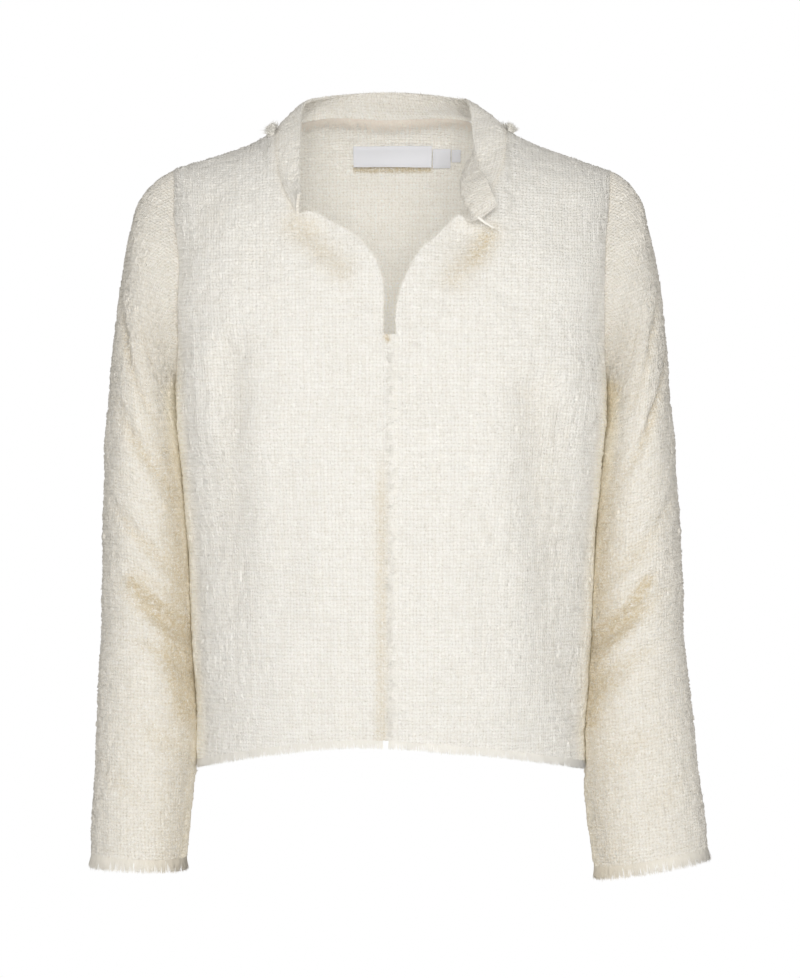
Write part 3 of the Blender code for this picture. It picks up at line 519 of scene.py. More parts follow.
def cloth_lattice(face, step):
    """s and v of points that lie a step apart in u and in h, and their u and h."""
    around, up = MEASURE[face]
    u = np.arange(math.ceil(around[0] / step), math.floor(around[-1] / step) + 1) * step
    h = np.arange(math.ceil(up[:, 0].min() / step), math.floor(up[:, -1].max() / step) + 1) * step
    places, spots = [], []
    for value in u:
        column = np.interp(value, around, np.arange(len(GRID_S)))
        low = min(int(column), len(GRID_S) - 2)
        height = up[low] * (1 - (column - low)) + up[low + 1] * (column - low)
        kept = h[(h > height[0]) & (h < height[-1])]
        s = np.interp(value, around, GRID_S)
        places.append(np.stack([np.full(len(kept), s), np.interp(kept, height, GRID_V)], axis=1))
        spots.append(np.stack([np.full(len(kept), value), kept], axis=1))
    return np.concatenate(places), np.concatenate(spots)


for face, (around, _) in MEASURE.items():
    print("front" if face == FRONT else "back", "round in mm:", round(float(np.ptp(around))))

# %% [markdown]
# ## Relief of the weave
#
# The cloth is a chunky basket-like tweed: thick soft yarns cross over and under each other at a
# three millimetre pitch, and swell and thin along their length. The larger lumps are real relief
# in the mesh. Its points lie half a pitch apart, and only every second one is kept, like the dark
# squares of a chessboard: enough for the crossings and the gaps at half the cost. Twist and fibre
# are finer than that, and are bump.

# %% Relief in the mesh
RELIEF = 0.34
YARN_VARIES = 0.22
OVER_AND_UNDER = 0.6
LUMPS = 0.32
SLUB = 0.26
CROSSINGS = 512
WAVES_AT_ONCE = 8000


def waves(seed, count, shortest, longest):
    """Random gentle waves, as wave numbers, phases and heights."""
    draw = np.random.default_rng(seed)
    length = draw.uniform(shortest, longest, count)
    turn = draw.uniform(0, 2 * math.pi, count)
    number = 2 * math.pi / length[:, None] * np.stack([np.cos(turn), np.sin(turn)], axis=1)
    return number, draw.uniform(0, 2 * math.pi, count), 1 / math.sqrt(count)


def ripple(spots, made):
    """The sum of such waves at each spot, a block of spots at a time to spare memory."""
    number, phase, height = made
    total = np.zeros(len(spots))
    for start in range(0, len(spots), WAVES_AT_ONCE):
        block = slice(start, start + WAVES_AT_ONCE)
        total[block] = np.cos(spots[block] @ number.T + phase).sum(axis=1)
    return total * height


UNEVEN = waves(3, 26, 42.0, 120.0)
SWELL = waves(5, 30, 5.0, 22.0)
LOOSE = np.random.default_rng(17).normal(0, 1, (CROSSINGS, CROSSINGS))
WARP_SIZE = np.random.default_rng(18).normal(0, 1, CROSSINGS)
WEFT_SIZE = np.random.default_rng(19).normal(0, 1, CROSSINGS)


def weave_relief(spots):
    """Height of the crossing yarns over the cloth's face, in millimetres, at u and h."""
    u, h = spots[:, 0] / PITCH, spots[:, 1] / PITCH
    warp_yarn = np.round(u).astype(int) % CROSSINGS
    weft_yarn = np.round(h).astype(int) % CROSSINGS
    over = np.cos(math.pi * np.round(u)) * np.cos(math.pi * np.round(h)) * OVER_AND_UNDER
    warp = np.cos(2 * math.pi * u) * (1 + YARN_VARIES * WARP_SIZE[warp_yarn]) + over
    weft = np.cos(2 * math.pi * h) * (1 + YARN_VARIES * WEFT_SIZE[weft_yarn]) - over
    lumps = np.clip(LOOSE[warp_yarn, weft_yarn], -1.5, 2.2) * LUMPS
    return RELIEF * np.maximum(warp, weft) * 0.7 + lumps + SLUB * ripple(spots, SWELL)


# %% [markdown]
# ## Closing a sheet into cloth
#
# A piece of cloth is a sheet of outer points and a copy of it a wall's thickness inside, joined
# round the rim. The outer face is fine, and the inner one coarse but for the rim that they share.
# A Solidify modifier would give both faces the same points, and so waste half of them.

# %% Mesh builders


def rim_edges(faces):
    """The edges with a face on one side only, in the direction in which that face runs."""
    directed = set()
    for face in faces:
        directed.update(zip(face, face[1:] + face[:1]))
    return [edge for edge in directed if (edge[1], edge[0]) not in directed]


# %% Filling an outline


def inside(outline, spots, margin):
    """Which spots lie in the outline and at least the margin away from it."""
    following = np.roll(outline, -1, axis=0)
    crossings = np.zeros(len(spots), int)
    nearest = np.full(len(spots), np.inf)
    for start, end in zip(outline, following):
        if start[1] != end[1]:
            at = start[0] + (spots[:, 1] - start[1]) / (end[1] - start[1]) * (end[0] - start[0])
            crossings += ((start[1] > spots[:, 1]) != (end[1] > spots[:, 1])) & (spots[:, 0] < at)
        near = np.abs(spots - (start + end) / 2).max(axis=1) < margin + np.abs(end - start).max()
        if near.any():
            run = end - start
            along = np.clip((spots[near] - start) @ run / (run @ run), 0.0, 1.0)
            away = np.linalg.norm(spots[near] - start - along[:, None] * run, axis=1)
            nearest[near] = np.minimum(nearest[near], away)
    return (crossings % 2 == 1) & (nearest > margin)


def filled(outline, spots):
    """Triangles that fill a flat outline through the spots in it, as numbers into the outline's
    points followed by the spots."""
    corners = [Vector(point) for point in np.concatenate([outline, spots])]
    found = delaunay_2d_cdt(corners, [], [list(range(len(outline)))], 1, 1e-6)
    source = [origin[0] for origin in found[3]]
    return [tuple(source[index] for index in face) for face in found[2]]


# %% Closed meshes


def turned_out(points, faces):
    """The faces of a closed form, all turned over if they face inwards."""
    fans = [(face[0], face[k], face[k + 1]) for face in faces for k in range(1, len(face) - 1)]
    corners = points[np.array(fans)]
    volume = np.einsum("ij,ij->i", corners[:, 0], np.cross(corners[:, 1], corners[:, 2])).sum()
    return faces if volume > 0 else [tuple(reversed(face)) for face in faces]


SHARP_ABOVE = 60


def mesh_piece(name, points, faces, spots, finish, smooth_angle=None):
    """A mesh object from points in millimetres, with u and h in metres as its UV map. Its edges
    are sharp where they bend by more than the angle given, in degrees."""
    mesh = bpy.data.meshes.new(name)
    points = np.asarray(points)
    mesh.from_pydata((points * METRES).tolist(), [], turned_out(points, faces))
    if spots is not None:
        layer = mesh.uv_layers.new(name="yarns")
        loops = np.empty(len(mesh.loops), np.int32)
        mesh.loops.foreach_get("vertex_index", loops)
        corners = (np.asarray(spots)[loops] * METRES).astype(np.float32)
        layer.data.foreach_set("uv", corners.ravel())
    mesh.materials.append(finish)
    mesh.shade_smooth()
    if smooth_angle is not None:
        mesh.set_sharp_from_angle(angle=math.radians(smooth_angle))
    mesh.update()
    piece = bpy.data.objects.new(name, mesh)
    bpy.context.scene.collection.objects.link(piece)
    return piece


def add_mask(piece, name, values):
    """Stores a number from 0 to 1 at each point, for the material to read."""
    layer = piece.data.attributes.new(name, "FLOAT", "POINT")
    layer.data.foreach_set("value", np.clip(values, 0, 1).astype(np.float32))


# %% [markdown]
# ## Finishes
#
# All the cloth is one ivory tweed, so its look is built once, as two node groups. `yarn crossing`
# turns the UV map into the height of the yarns and a mask of the gaps between them. `boucle
# tone` gives the mixed ivory and cream of the yarns, painted shade in their gaps, tan painted shade
# where the shade mask is, painted highlights on their crowns and painted glints for a metallic
# thread.
# A third group, `yarn grain`, is shared by the loose yarns. Groups keep what the materials have in
# common in one place, while the shader and its plain numbers stay in each material.

# %% Node helpers


def new_group(name, inputs, outputs):
    group = bpy.data.node_groups.new(name, "ShaderNodeTree")
    for socket, kind, value in inputs:
        made = group.interface.new_socket(name=socket, in_out="INPUT", socket_type=kind)
        if value is not None:
            made.default_value = value
    for socket, kind in outputs:
        group.interface.new_socket(name=socket, in_out="OUTPUT", socket_type=kind)
    return group, group.nodes.new("NodeGroupInput"), group.nodes.new("NodeGroupOutput")


def maths(tree, operation, first, second=None, clamp=False):
    """A Math node fed by sockets or numbers. Returns its output."""
    node = tree.nodes.new("ShaderNodeMath")
    node.operation = operation
    node.use_clamp = clamp
    for socket, value in zip(node.inputs, (first, second)):
        if value is None:
            continue
        if isinstance(value, (int, float)):
            socket.default_value = value
        else:
            tree.links.new(value, socket)
    return node.outputs[0]


def gained(tree, value, floor, gain):
    """How far a value is above a floor, times a gain, held between 0 and 1."""
    return maths(tree, "MULTIPLY", maths(tree, "SUBTRACT", value, floor), gain, clamp=True)


def blend(tree, factor, first, second):
    """A colour Mix node. Returns its result."""
    node = tree.nodes.new("ShaderNodeMix")
    node.data_type = "RGBA"
    for index, value in ((0, factor), (6, first), (7, second)):
        socket = node.inputs[index]
        if isinstance(value, (int, float, tuple)):
            socket.default_value = value
        else:
            tree.links.new(value, socket)
    return node.outputs[2]


def noise(tree, vector, scale, detail=2.0, rough=0.5):
    node = tree.nodes.new("ShaderNodeTexNoise")
    node.inputs["Scale"].default_value = scale
    node.inputs["Detail"].default_value = detail
    node.inputs["Roughness"].default_value = rough
    tree.links.new(vector, node.inputs["Vector"])
    return node.outputs["Fac"]


def stretched(tree, vector, factor, shift):
    """A vector times a factor plus a shift, each of them a socket or three numbers."""
    node = tree.nodes.new("ShaderNodeVectorMath")
    node.operation = "MULTIPLY_ADD"
    for socket, value in zip(node.inputs, (vector, factor, shift)):
        if isinstance(value, tuple):
            socket.default_value = value
        else:
            tree.links.new(value, socket)
    return node.outputs[0]


# %% Node group: the crossing yarns
YARN_WANDER = 0.0034
CROWN_ROUND = 2.4
CROWN_HEIGHT = 0.66
CROSSING_RISE = 0.34
GAP_BELOW = 0.62
EVEN_START = 1000.5


def yarn_crossing():
    """UV in, out come the height of the yarns and a mask of the gaps between them."""
    group, given, result = new_group(
        "yarn crossing",
        [("Vector", "NodeSocketVector", None), ("Pitch", "NodeSocketFloat", PITCH * METRES)],
        [("Height", "NodeSocketFloat"), ("Gap", "NodeSocketFloat")],
    )
    wander = group.nodes.new("ShaderNodeTexNoise")
    wander.inputs["Scale"].default_value = 210.0
    wander.inputs["Detail"].default_value = 2.0
    group.links.new(given.outputs["Vector"], wander.inputs["Vector"])
    amount = (YARN_WANDER, YARN_WANDER, 0.0)
    moved = stretched(group, wander.outputs["Color"], amount, given.outputs["Vector"])
    split = group.nodes.new("ShaderNodeSeparateXYZ")
    group.links.new(moved, split.inputs[0])
    u = maths(group, "DIVIDE", split.outputs["X"], given.outputs["Pitch"])
    h = maths(group, "DIVIDE", split.outputs["Y"], given.outputs["Pitch"])

    def crown(place):
        """1 on a yarn's middle, falling to 0 in the gap beside it."""
        away = maths(group, "PINGPONG", place, 0.5)
        share = maths(group, "MULTIPLY", away, 2.0)
        return maths(group, "SUBTRACT", 1.0, maths(group, "POWER", share, CROWN_ROUND))

    def parity(place):
        """0 on every second yarn and 1 on the others."""
        counted = maths(group, "FLOOR", maths(group, "ADD", place, EVEN_START))
        return maths(group, "MODULO", counted, 2.0)

    checker = maths(group, "ABSOLUTE", maths(group, "SUBTRACT", parity(u), parity(h)))
    swing = maths(group, "SUBTRACT", maths(group, "MULTIPLY", checker, 2.0), 1.0)

    def yarns(own, crossed, rise):
        """Height of the yarns of one direction, which rise where they pass over the others."""
        lifted = maths(group, "MULTIPLY", maths(group, "MULTIPLY", swing, crown(crossed)), rise)
        return maths(group, "ADD", maths(group, "MULTIPLY", crown(own), CROWN_HEIGHT), lifted)

    height = maths(group, "MAXIMUM", yarns(u, h, CROSSING_RISE), yarns(h, u, -CROSSING_RISE))
    group.links.new(height, result.inputs["Height"])
    filled_up = maths(group, "DIVIDE", height, GAP_BELOW, clamp=True)
    group.links.new(maths(group, "SUBTRACT", 1.0, filled_up, clamp=True), result.inputs["Gap"])
    return group


# %% Node group: the mixed yarns' colour
# TAN is the colour of the painted shade in folds, seams and hollows.
TAN = (0.62, 0.50, 0.30, 1.0)
GLINT = (1.0, 0.99, 0.96, 1.0)
ALONG_YARN, ACROSS_YARNS = 22.0, 330.0


def streaks(tree, vector, stretch, start):
    """Noise drawn out along the yarns of one direction, so that each yarn has its own tone."""
    return noise(tree, stretched(tree, vector, stretch, start), 1.0, 2.0, 0.6)


def boucle_tone():
    """Colour of the yarns with painted shade, highlights and glints, and a mask of the glints."""
    group, given, result = new_group(
        "boucle tone",
        [
            ("Vector", "NodeSocketVector", None),
            ("Gap", "NodeSocketFloat", 0.0),
            ("Height", "NodeSocketFloat", 0.0),
            ("Shade", "NodeSocketFloat", 0.0),
            ("Yarn", "NodeSocketColor", (0.925, 0.912, 0.885, 1.0)),
            ("Crown_highlight", "NodeSocketColor", (0.99, 0.98, 0.945, 1.0)),
            ("Cream", "NodeSocketColor", (0.875, 0.85, 0.80, 1.0)),
            ("Gap_shade", "NodeSocketColor", (0.62, 0.575, 0.49, 1.0)),
            ("Tan", "NodeSocketColor", TAN),
        ],
        [("Color", "NodeSocketColor"), ("Glint", "NodeSocketFloat")],
    )
    vector = given.outputs["Vector"]
    broad = noise(group, vector, 90.0, 3.0, 0.6)
    fine = noise(group, vector, 700.0, 2.0, 0.6)
    weft_tone = streaks(group, vector, (ALONG_YARN, ACROSS_YARNS, 1.0), (3.1, 7.7, 0.0))
    warp_tone = streaks(group, vector, (ACROSS_YARNS, ALONG_YARN, 1.0), (9.4, 1.3, 0.0))
    mixed = maths(group, "ADD", weft_tone, warp_tone)
    mixed = maths(group, "ADD", mixed, maths(group, "MULTIPLY", broad, 0.8))
    mixed = maths(group, "ADD", mixed, maths(group, "MULTIPLY", fine, 1.1))
    mixed = gained(group, mixed, 1.72, 1.7)
    colour = blend(group, mixed, given.outputs["Yarn"], given.outputs["Cream"])

    def toned(under, mask, most, over):
        """A colour over another where a mask is, up to the most that it may cover."""
        return blend(group, maths(group, "MULTIPLY", mask, most), under, over)

    # Painted shade: where noise opens the weave, the gaps between the yarns are darkened to the gap
    # shade colour.
    patchy = noise(group, vector, 250.0, 3.0, 0.7)
    open_here = gained(group, patchy, 0.36, 4.0)
    deep = maths(group, "MULTIPLY", given.outputs["Gap"], open_here, clamp=True)
    colour = toned(colour, deep, 0.85, given.outputs["Gap_shade"])
    # Painted highlight: in patches, the crowns of the yarns, where they rise highest, are lightened
    # almost to white.
    crown = gained(group, given.outputs["Height"], CROWN_HEIGHT, 3.4)
    some = gained(group, noise(group, vector, 330.0, 2.0, 0.6), 0.46, 6.0)
    colour = toned(colour, maths(group, "MULTIPLY", crown, some), 0.7, given.outputs["Crown_highlight"])
    # Painted shade: the shade mask, broken up by the grain, mixes the colour towards tan.
    grain = maths(group, "SUBTRACT", maths(group, "ADD", fine, patchy), 0.58)
    grain = maths(group, "MULTIPLY", grain, 1.8)
    tan_shade = maths(group, "MULTIPLY", given.outputs["Shade"], grain, clamp=True)
    colour = toned(colour, tan_shade, 0.85, given.outputs["Tan"])
    # Painted glints: in a few small cells the colour is mixed towards near-white, for the light off
    # a metallic thread; the same cells are also made glossier.
    cells = group.nodes.new("ShaderNodeTexVoronoi")
    cells.inputs["Scale"].default_value = 560.0
    group.links.new(vector, cells.inputs["Vector"])
    pick = group.nodes.new("ShaderNodeSeparateColor")
    group.links.new(cells.outputs["Color"], pick.inputs[0])
    chosen = maths(group, "GREATER_THAN", pick.outputs[0], 0.9)
    near = maths(group, "LESS_THAN", cells.outputs["Distance"], 0.36)
    glint = maths(group, "MULTIPLY", chosen, near)
    group.links.new(toned(colour, glint, 0.6, GLINT), result.inputs["Color"])
    group.links.new(glint, result.inputs["Glint"])
    return group


# %% Node group: the grain of loose yarn
WHITE_YARN = (0.935, 0.92, 0.88, 1.0)


def yarn_grain():
    """Colour and fine relief of loose yarn: ivory with a little tan, and more in its shade."""
    group, given, result = new_group(
        "yarn grain",
        [
            ("Vector", "NodeSocketVector", None),
            ("Yarn", "NodeSocketColor", WHITE_YARN),
            ("Tan", "NodeSocketColor", TAN),
            ("Shade_colour", "NodeSocketColor", TAN),
            ("Shade", "NodeSocketFloat", 0.0),
        ],
        [("Color", "NodeSocketColor"), ("Height", "NodeSocketFloat")],
    )
    grain = noise(group, given.outputs["Vector"], 420.0, 3.0, 0.6)
    flecked = maths(group, "MULTIPLY", grain, 0.6, clamp=True)
    colour = blend(group, flecked, given.outputs["Yarn"], given.outputs["Tan"])
    # Painted shade: where the shade mask is, the yarn is mixed towards tan.
    painted_shade = maths(group, "MULTIPLY", given.outputs["Shade"], 0.6)
    colour = blend(group, painted_shade, colour, given.outputs["Shade_colour"])
    group.links.new(colour, result.inputs["Color"])
    group.links.new(noise(group, given.outputs["Vector"], 2400.0), result.inputs["Height"])
    return group


CROSSING, TONE, GRAIN = yarn_crossing(), boucle_tone(), yarn_grain()
print("node groups:", [group.name for group in (CROSSING, TONE, GRAIN)])

# %% Material helpers
NO_LIGHT = (0.0, 0.0, 0.0, 1.0)


def new_material(name):
    """A new material, its node tree and its shader."""
    made = bpy.data.materials.new(name)
    made.use_nodes = True
    return made, made.node_tree, made.node_tree.nodes["Principled BSDF"]


def set_plain(shader, **values):
    """Sets the shader's own sockets, for what is the same all over the surface."""
    for name, value in values.items():
        shader.inputs[name.replace("_", " ")].default_value = value


def placed(tree, group, **inputs):
    """A node group in a material, each of its inputs fed by a socket or a colour."""
    node = tree.nodes.new("ShaderNodeGroup")
    node.node_tree = group
    for name, value in inputs.items():
        if isinstance(value, tuple):
            node.inputs[name].default_value = value
        else:
            tree.links.new(value, node.inputs[name])
    return node


def yarn_map(tree):
    """The UV map of u and h."""
    node = tree.nodes.new("ShaderNodeUVMap")
    node.uv_map = "yarns"
    return node.outputs["UV"]


def mask(tree, name):
    """A number that add_mask has stored at the mesh's points."""
    node = tree.nodes.new("ShaderNodeAttribute")
    node.attribute_name = name
    return node.outputs["Fac"]


def raised(tree, shader, height, strength, distance):
    """Feeds a height to the shader's normal."""
    node = tree.nodes.new("ShaderNodeBump")
    node.inputs["Strength"].default_value = strength
    node.inputs["Distance"].default_value = distance
    tree.links.new(height, node.inputs["Height"])
    tree.links.new(node.outputs["Normal"], shader.inputs["Normal"])


# %% Materials
# THROUGH_LIGHT and BETWEEN_LIGHT are emission: painted light inside the cloth and in the slot
# between arm and body.
THROUGH_LIGHT = (0.193, 0.189, 0.175, 1.0)
BETWEEN_LIGHT = (0.185, 0.165, 0.118, 1.0)
TWEED_BUMP = 0.75
MATT = 0.86
GLINT_GLOSS = 0.5


def tweed_material(name):
    """The woven cloth. Two masks say where it glows with painted light, as emission, for light
    that comes through it or lies between its walls.
    """
    made, tree, shader = new_material(name)
    set_plain(shader, Metallic=0.0, Sheen_Weight=0.25, Sheen_Roughness=0.45)
    set_plain(shader, Specular_IOR_Level=0.3, Emission_Strength=1.0)
    place = yarn_map(tree)
    weave = placed(tree, CROSSING, Vector=place).outputs
    shade = mask(tree, "shade")
    tone = placed(tree, TONE, Vector=place, Gap=weave["Gap"], Height=weave["Height"], Shade=shade)
    tree.links.new(tone.outputs["Color"], shader.inputs["Base Color"])
    glow = blend(tree, mask(tree, "lit_through"), NO_LIGHT, THROUGH_LIGHT)
    glow = blend(tree, mask(tree, "lit_between"), glow, BETWEEN_LIGHT)
    tree.links.new(glow, shader.inputs["Emission Color"])
    fibre = noise(tree, place, 1500.0, 3.0, 0.65)
    knots = noise(tree, place, 430.0, 2.0, 0.7)
    height = maths(tree, "ADD", weave["Height"], maths(tree, "MULTIPLY", fibre, 0.7))
    height = maths(tree, "ADD", height, maths(tree, "MULTIPLY", knots, 1.3))
    raised(tree, shader, height, TWEED_BUMP, 0.0013)
    glossy = maths(tree, "MULTIPLY", tone.outputs["Glint"], GLINT_GLOSS)
    tree.links.new(maths(tree, "SUBTRACT", MATT, glossy), shader.inputs["Roughness"])
    return made


def yarn_material(name, colour, tan, lit_through=NO_LIGHT):
    """Loose yarn ends: ivory flecked with tan, with tan painted shade and an optional painted glow.
    """
    made, tree, shader = new_material(name)
    set_plain(shader, Roughness=0.85, Sheen_Weight=0.3)
    set_plain(shader, Emission_Color=lit_through, Emission_Strength=1.0)
    place = tree.nodes.new("ShaderNodeTexCoord").outputs["Object"]
    shade = mask(tree, "shade")
    grain = placed(tree, GRAIN, Vector=place, Yarn=colour, Tan=tan, Shade=shade)
    tree.links.new(grain.outputs["Color"], shader.inputs["Base Color"])
    raised(tree, shader, grain.outputs["Height"], 0.4, 0.0004)
    return made


TWEED = tweed_material("ivory_tweed")
YARN = yarn_material("ivory_yarn", WHITE_YARN, (0.83, 0.80, 0.73, 1.0))
# The tan seam allowance inside the back neck glows a little: painted light that lifts it out of the
# collar's shadow.
TAN_YARN = yarn_material(
    "tan_yarn", (0.95, 0.91, 0.84, 1.0), (0.62, 0.44, 0.33, 1.0), (0.14, 0.135, 0.12, 1.0)
)
print("materials:", [material.name for material in (TWEED, YARN, TAN_YARN)])

# %% [markdown]
# ## Fronts and back
#
# Each panel is cut by its own seams and edges. The outline is drawn in s and v, carried over to u
# and h, and filled with the yarns' lattice, so that every thread crossing has its own points. A
# grid of quads with a trimmed edge would be simpler, but its rows would not follow the yarns.

# %% Outlines
FINE = PITCH / 2
COARSE = PITCH * 2.5
SEAM_DEPTH = dict(side=0.6, armhole=0.2, shoulder=0.4, neck=0.7, raw=0.0)


def ditch_depths(lines):
    """The depth of the seam's ditch at each point of an outline, from its lines' kinds."""
    return np.repeat([SEAM_DEPTH[kind] for kind, _ in lines], [len(line) - 1 for _, line in lines])


def front_outline(side):
    """Up the edge from the hem, round the neck, over the shoulder and down to the hem again."""
    opening = line_of(FRONT, OPEN_EDGE[side], side, 90, False)
    edge = edge_line(side, 190)
    opening[-1] = edge[0]
    neck = line_of(FRONT, NECK_SEAM[side], side, 50, True)
    opening[0] = neck[-1]
    shoulder = shoulder_line(FRONT, side, 54)
    neck[0] = shoulder[-1]
    armhole = armhole_line(FRONT, side, 110)
    armhole[0] = shoulder[0]
    armhole[-1] = (side, 1.0)
    seam = side_seam(side, 170)
    hem = hem_line(FRONT, edge[-1, 0], side, 130)
    lines = [
        ("raw", edge[::-1]),
        ("raw", opening[::-1]),
        ("neck", neck[::-1]),
        ("shoulder", shoulder[::-1]),
        ("armhole", armhole),
        ("side", seam[::-1]),
        ("raw", hem[::-1]),
    ]
    return joined(*[line for _, line in lines]), ditch_depths(lines)


def back_outline():
    """Up the right side seam, over the shoulders and the neck, down the left side, and the hem."""
    sides = {}
    for side in (RIGHT, LEFT):
        armhole = armhole_line(BACK, side, 110)
        shoulder = shoulder_line(BACK, side, 54)
        armhole[0] = shoulder[0]
        armhole[-1] = (side, 1.0)
        seam = side_seam(side, 170)
        sides[side] = [("side", seam), ("armhole", armhole[::-1]), ("shoulder", shoulder)]
    neck = neck_back_line(110)
    neck[0], neck[-1] = sides[RIGHT][2][1][-1], sides[LEFT][2][1][-1]
    left = [(kind, line[::-1]) for kind, line in reversed(sides[LEFT])]
    lines = [*sides[RIGHT], ("neck", neck), *left, ("raw", hem_line(BACK, LEFT, RIGHT, 250))]
    return joined(*[line for _, line in lines]), ditch_depths(lines)


# %% Cloth points
DITCH_WIDTH = 3.2
BODY_UNEVEN = 0.7


def cloth_points(face, places):
    """Points of the body's cloth with all its folds, its normals, and how deep the folds are."""
    points, normals = torso(face, *places.T)
    bare = bare_torso(face, *places.T)
    calm = clear_of_seams(*places.T)
    small = fold_depth(SMALL_FOLDS, face, bare) * calm
    large = fold_depth(BODY_FOLDS, face, bare) * calm
    wavy = ripple(to_cloth(face, places), UNEVEN) * BODY_UNEVEN * calm
    return points - normals * (small + wavy)[:, None], normals, large + small


def ditch(points, rim, depth):
    """How near each point is to a seam, from 0 to 1, and how far that seam draws the cloth in."""
    seams = np.flatnonzero(depth > 0)
    tree = KDTree(len(seams))
    for index in seams:
        tree.insert(rim[index], index)
    tree.balance()
    near, drawn = np.zeros(len(points)), np.zeros(len(points))
    for number, point in enumerate(points):
        _, index, away = tree.find(point)
        near[number] = math.exp(-((away / DITCH_WIDTH) ** 2))
        drawn[number] = near[number] * depth[index]
    return near, drawn


# %% Masks of painted light, as emission, through the cloth and between arm and body
INSIDE_LIGHT, LESS_WHERE_SHADED = 0.555, 0.75
SLOT_LIGHT, SLOT_TOP_Z, SLOT_FADE = 0.45, -112.0, 45
ARM_SLOT = dict(turned=0.86, full=0.12, above=60, behind=0.35, front_y=10, front_fade=50)
BETWEEN_ARM_AND_BODY = 205.0


def light_inside(under, tan_shade, seen_inside):
    """Painted light, as emission, for light that comes through the wall to its inner face, with
    more low in the neck opening.
    """
    light = INSIDE_LIGHT * (1 - LESS_WHERE_SHADED * np.clip(tan_shade, 0, 1))
    if seen_inside is not None:
        light += SLOT_LIGHT * np.clip((SLOT_TOP_Z - under[:, 2]) / SLOT_FADE, 0, 1)
    return light


def light_between(points, normals):
    """Painted light, as emission, for light between arm and body, on the faces turned to one
    another, and weaker at the back.
    """
    beside = np.clip((np.abs(normals[:, 0]) - ARM_SLOT["turned"]) / ARM_SLOT["full"], 0, 1) ** 1.5
    top = UNDERARM_Z + ARM_SLOT["above"]
    beside *= np.clip((top - points[:, 2]) / ARM_SLOT["above"], 0, 1)
    beside *= np.abs(points[:, 0]) < BETWEEN_ARM_AND_BODY
    in_front = np.clip((ARM_SLOT["front_y"] - points[:, 1]) / ARM_SLOT["front_fade"], 0, 1)
    return beside * (ARM_SLOT["behind"] + (1 - ARM_SLOT["behind"]) * in_front)


# %% Builder for a wall of cloth
LOOSE_PLACES = {}
RELIEF_LOST_AT_SEAM = 0.9
CLEAR_OF_RIM = 0.55
MOST_FOLD_SHADE, SEAM_SHADE = 0.8, 0.3


def trimmed(rim_spots, places, spots, step):
    """The lattice's places and spots that lie inside the rim, a little clear of it."""
    kept = inside(rim_spots, spots, step * CLEAR_OF_RIM)
    return places[kept], spots[kept]


def chessboard(places, spots):
    """Every second point of a lattice, like the dark squares of a chessboard."""
    dark = np.round(spots / FINE).astype(int).sum(axis=1) % 2 == 0
    return places[dark], spots[dark]


def wall_faces(faces, under_faces, count, turned):
    """The outer, inner and rim faces of a wall whose count outer points come first."""
    if turned:
        faces = [tuple(reversed(triangle)) for triangle in faces]
        under_faces = [tuple(reversed(triangle)) for triangle in under_faces]
    sides = [(end, start, start + count, end + count) for start, end in sorted(rim_edges(faces))]
    below = [tuple(index + count for index in reversed(triangle)) for triangle in under_faces]
    return faces + below + sides


def cloth_wall(name, rim, lattice, shape, depth, paint, inner_paint, seen_inside=None,
               turned=False, fold_shade_depth=70.0):
    """A piece of cloth as a closed wall. rim holds the places and spots of its outline, lattice
    gives those inside it for a step, and shape turns places into points, normals and fold depth.
    seen_inside picks the places where the inner face shows, and is as fine as the outer one."""
    rim_places, rim_spots = rim
    fine, fine_spots = trimmed(rim_spots, *chessboard(*lattice(FINE)), FINE)
    coarse, coarse_spots = trimmed(rim_spots, *lattice(COARSE), COARSE)
    if seen_inside is not None:
        shown, hidden = seen_inside(shape(fine)[0]), ~seen_inside(shape(coarse)[0])
        coarse = np.concatenate([fine[shown], coarse[hidden]])
        coarse_spots = np.concatenate([fine_spots[shown], coarse_spots[hidden]])
    spots = np.concatenate([rim_spots, fine_spots])
    under_spots = np.concatenate([rim_spots, coarse_spots])
    points, normals, folds = shape(np.concatenate([rim_places, fine]))
    near_seam, drawn = ditch(points, points[: len(rim_spots)], depth)
    raised_by = weave_relief(spots) * (1 - RELIEF_LOST_AT_SEAM * near_seam) - drawn
    outer = points + normals * raised_by[:, None]
    under, under_normals, _ = shape(np.concatenate([rim_places, coarse]))
    lift = np.full(len(under), WALL)
    if seen_inside is not None:
        lift += weave_relief(under_spots + PITCH) * seen_inside(under)
    both = np.concatenate([outer, under - under_normals * lift[:, None]])
    both_spots = np.concatenate([spots, under_spots])
    faces, under_faces = filled(rim_spots, fine_spots), filled(rim_spots, coarse_spots)
    faces = wall_faces(faces, under_faces, len(outer), turned)
    piece = mesh_piece(name, both, faces, both_spots, TWEED, SHARP_ABOVE)
    # Painted shade: tan in the folds, by their depth, and in the seams' ditches, with each piece's
    # own painted shade on top.
    shade = np.clip(folds / fold_shade_depth, 0, MOST_FOLD_SHADE)
    shade = shade + drawn * SEAM_SHADE + paint(points, normals)
    under_shade = inner_paint(under, under_normals)
    through = light_inside(under, under_shade, seen_inside)
    between_walls = light_between(points, normals)
    add_mask(piece, "shade", np.concatenate([shade, under_shade]))
    add_mask(piece, "lit_through", np.concatenate([np.zeros(len(outer)), through]))
    add_mask(piece, "lit_between", np.concatenate([between_walls, np.zeros(len(under))]))
    print(name, "triangles:", sum(len(face) - 2 for face in faces))
    LOOSE_PLACES[name] = (outer, normals, np.clip(shade, 0, 1))
    return piece


# %% Painted shade of the fronts and the back
CLOSURE = dict(x=-8.0, width=5.5, top_z=-276, fade=40, strength=0.46)


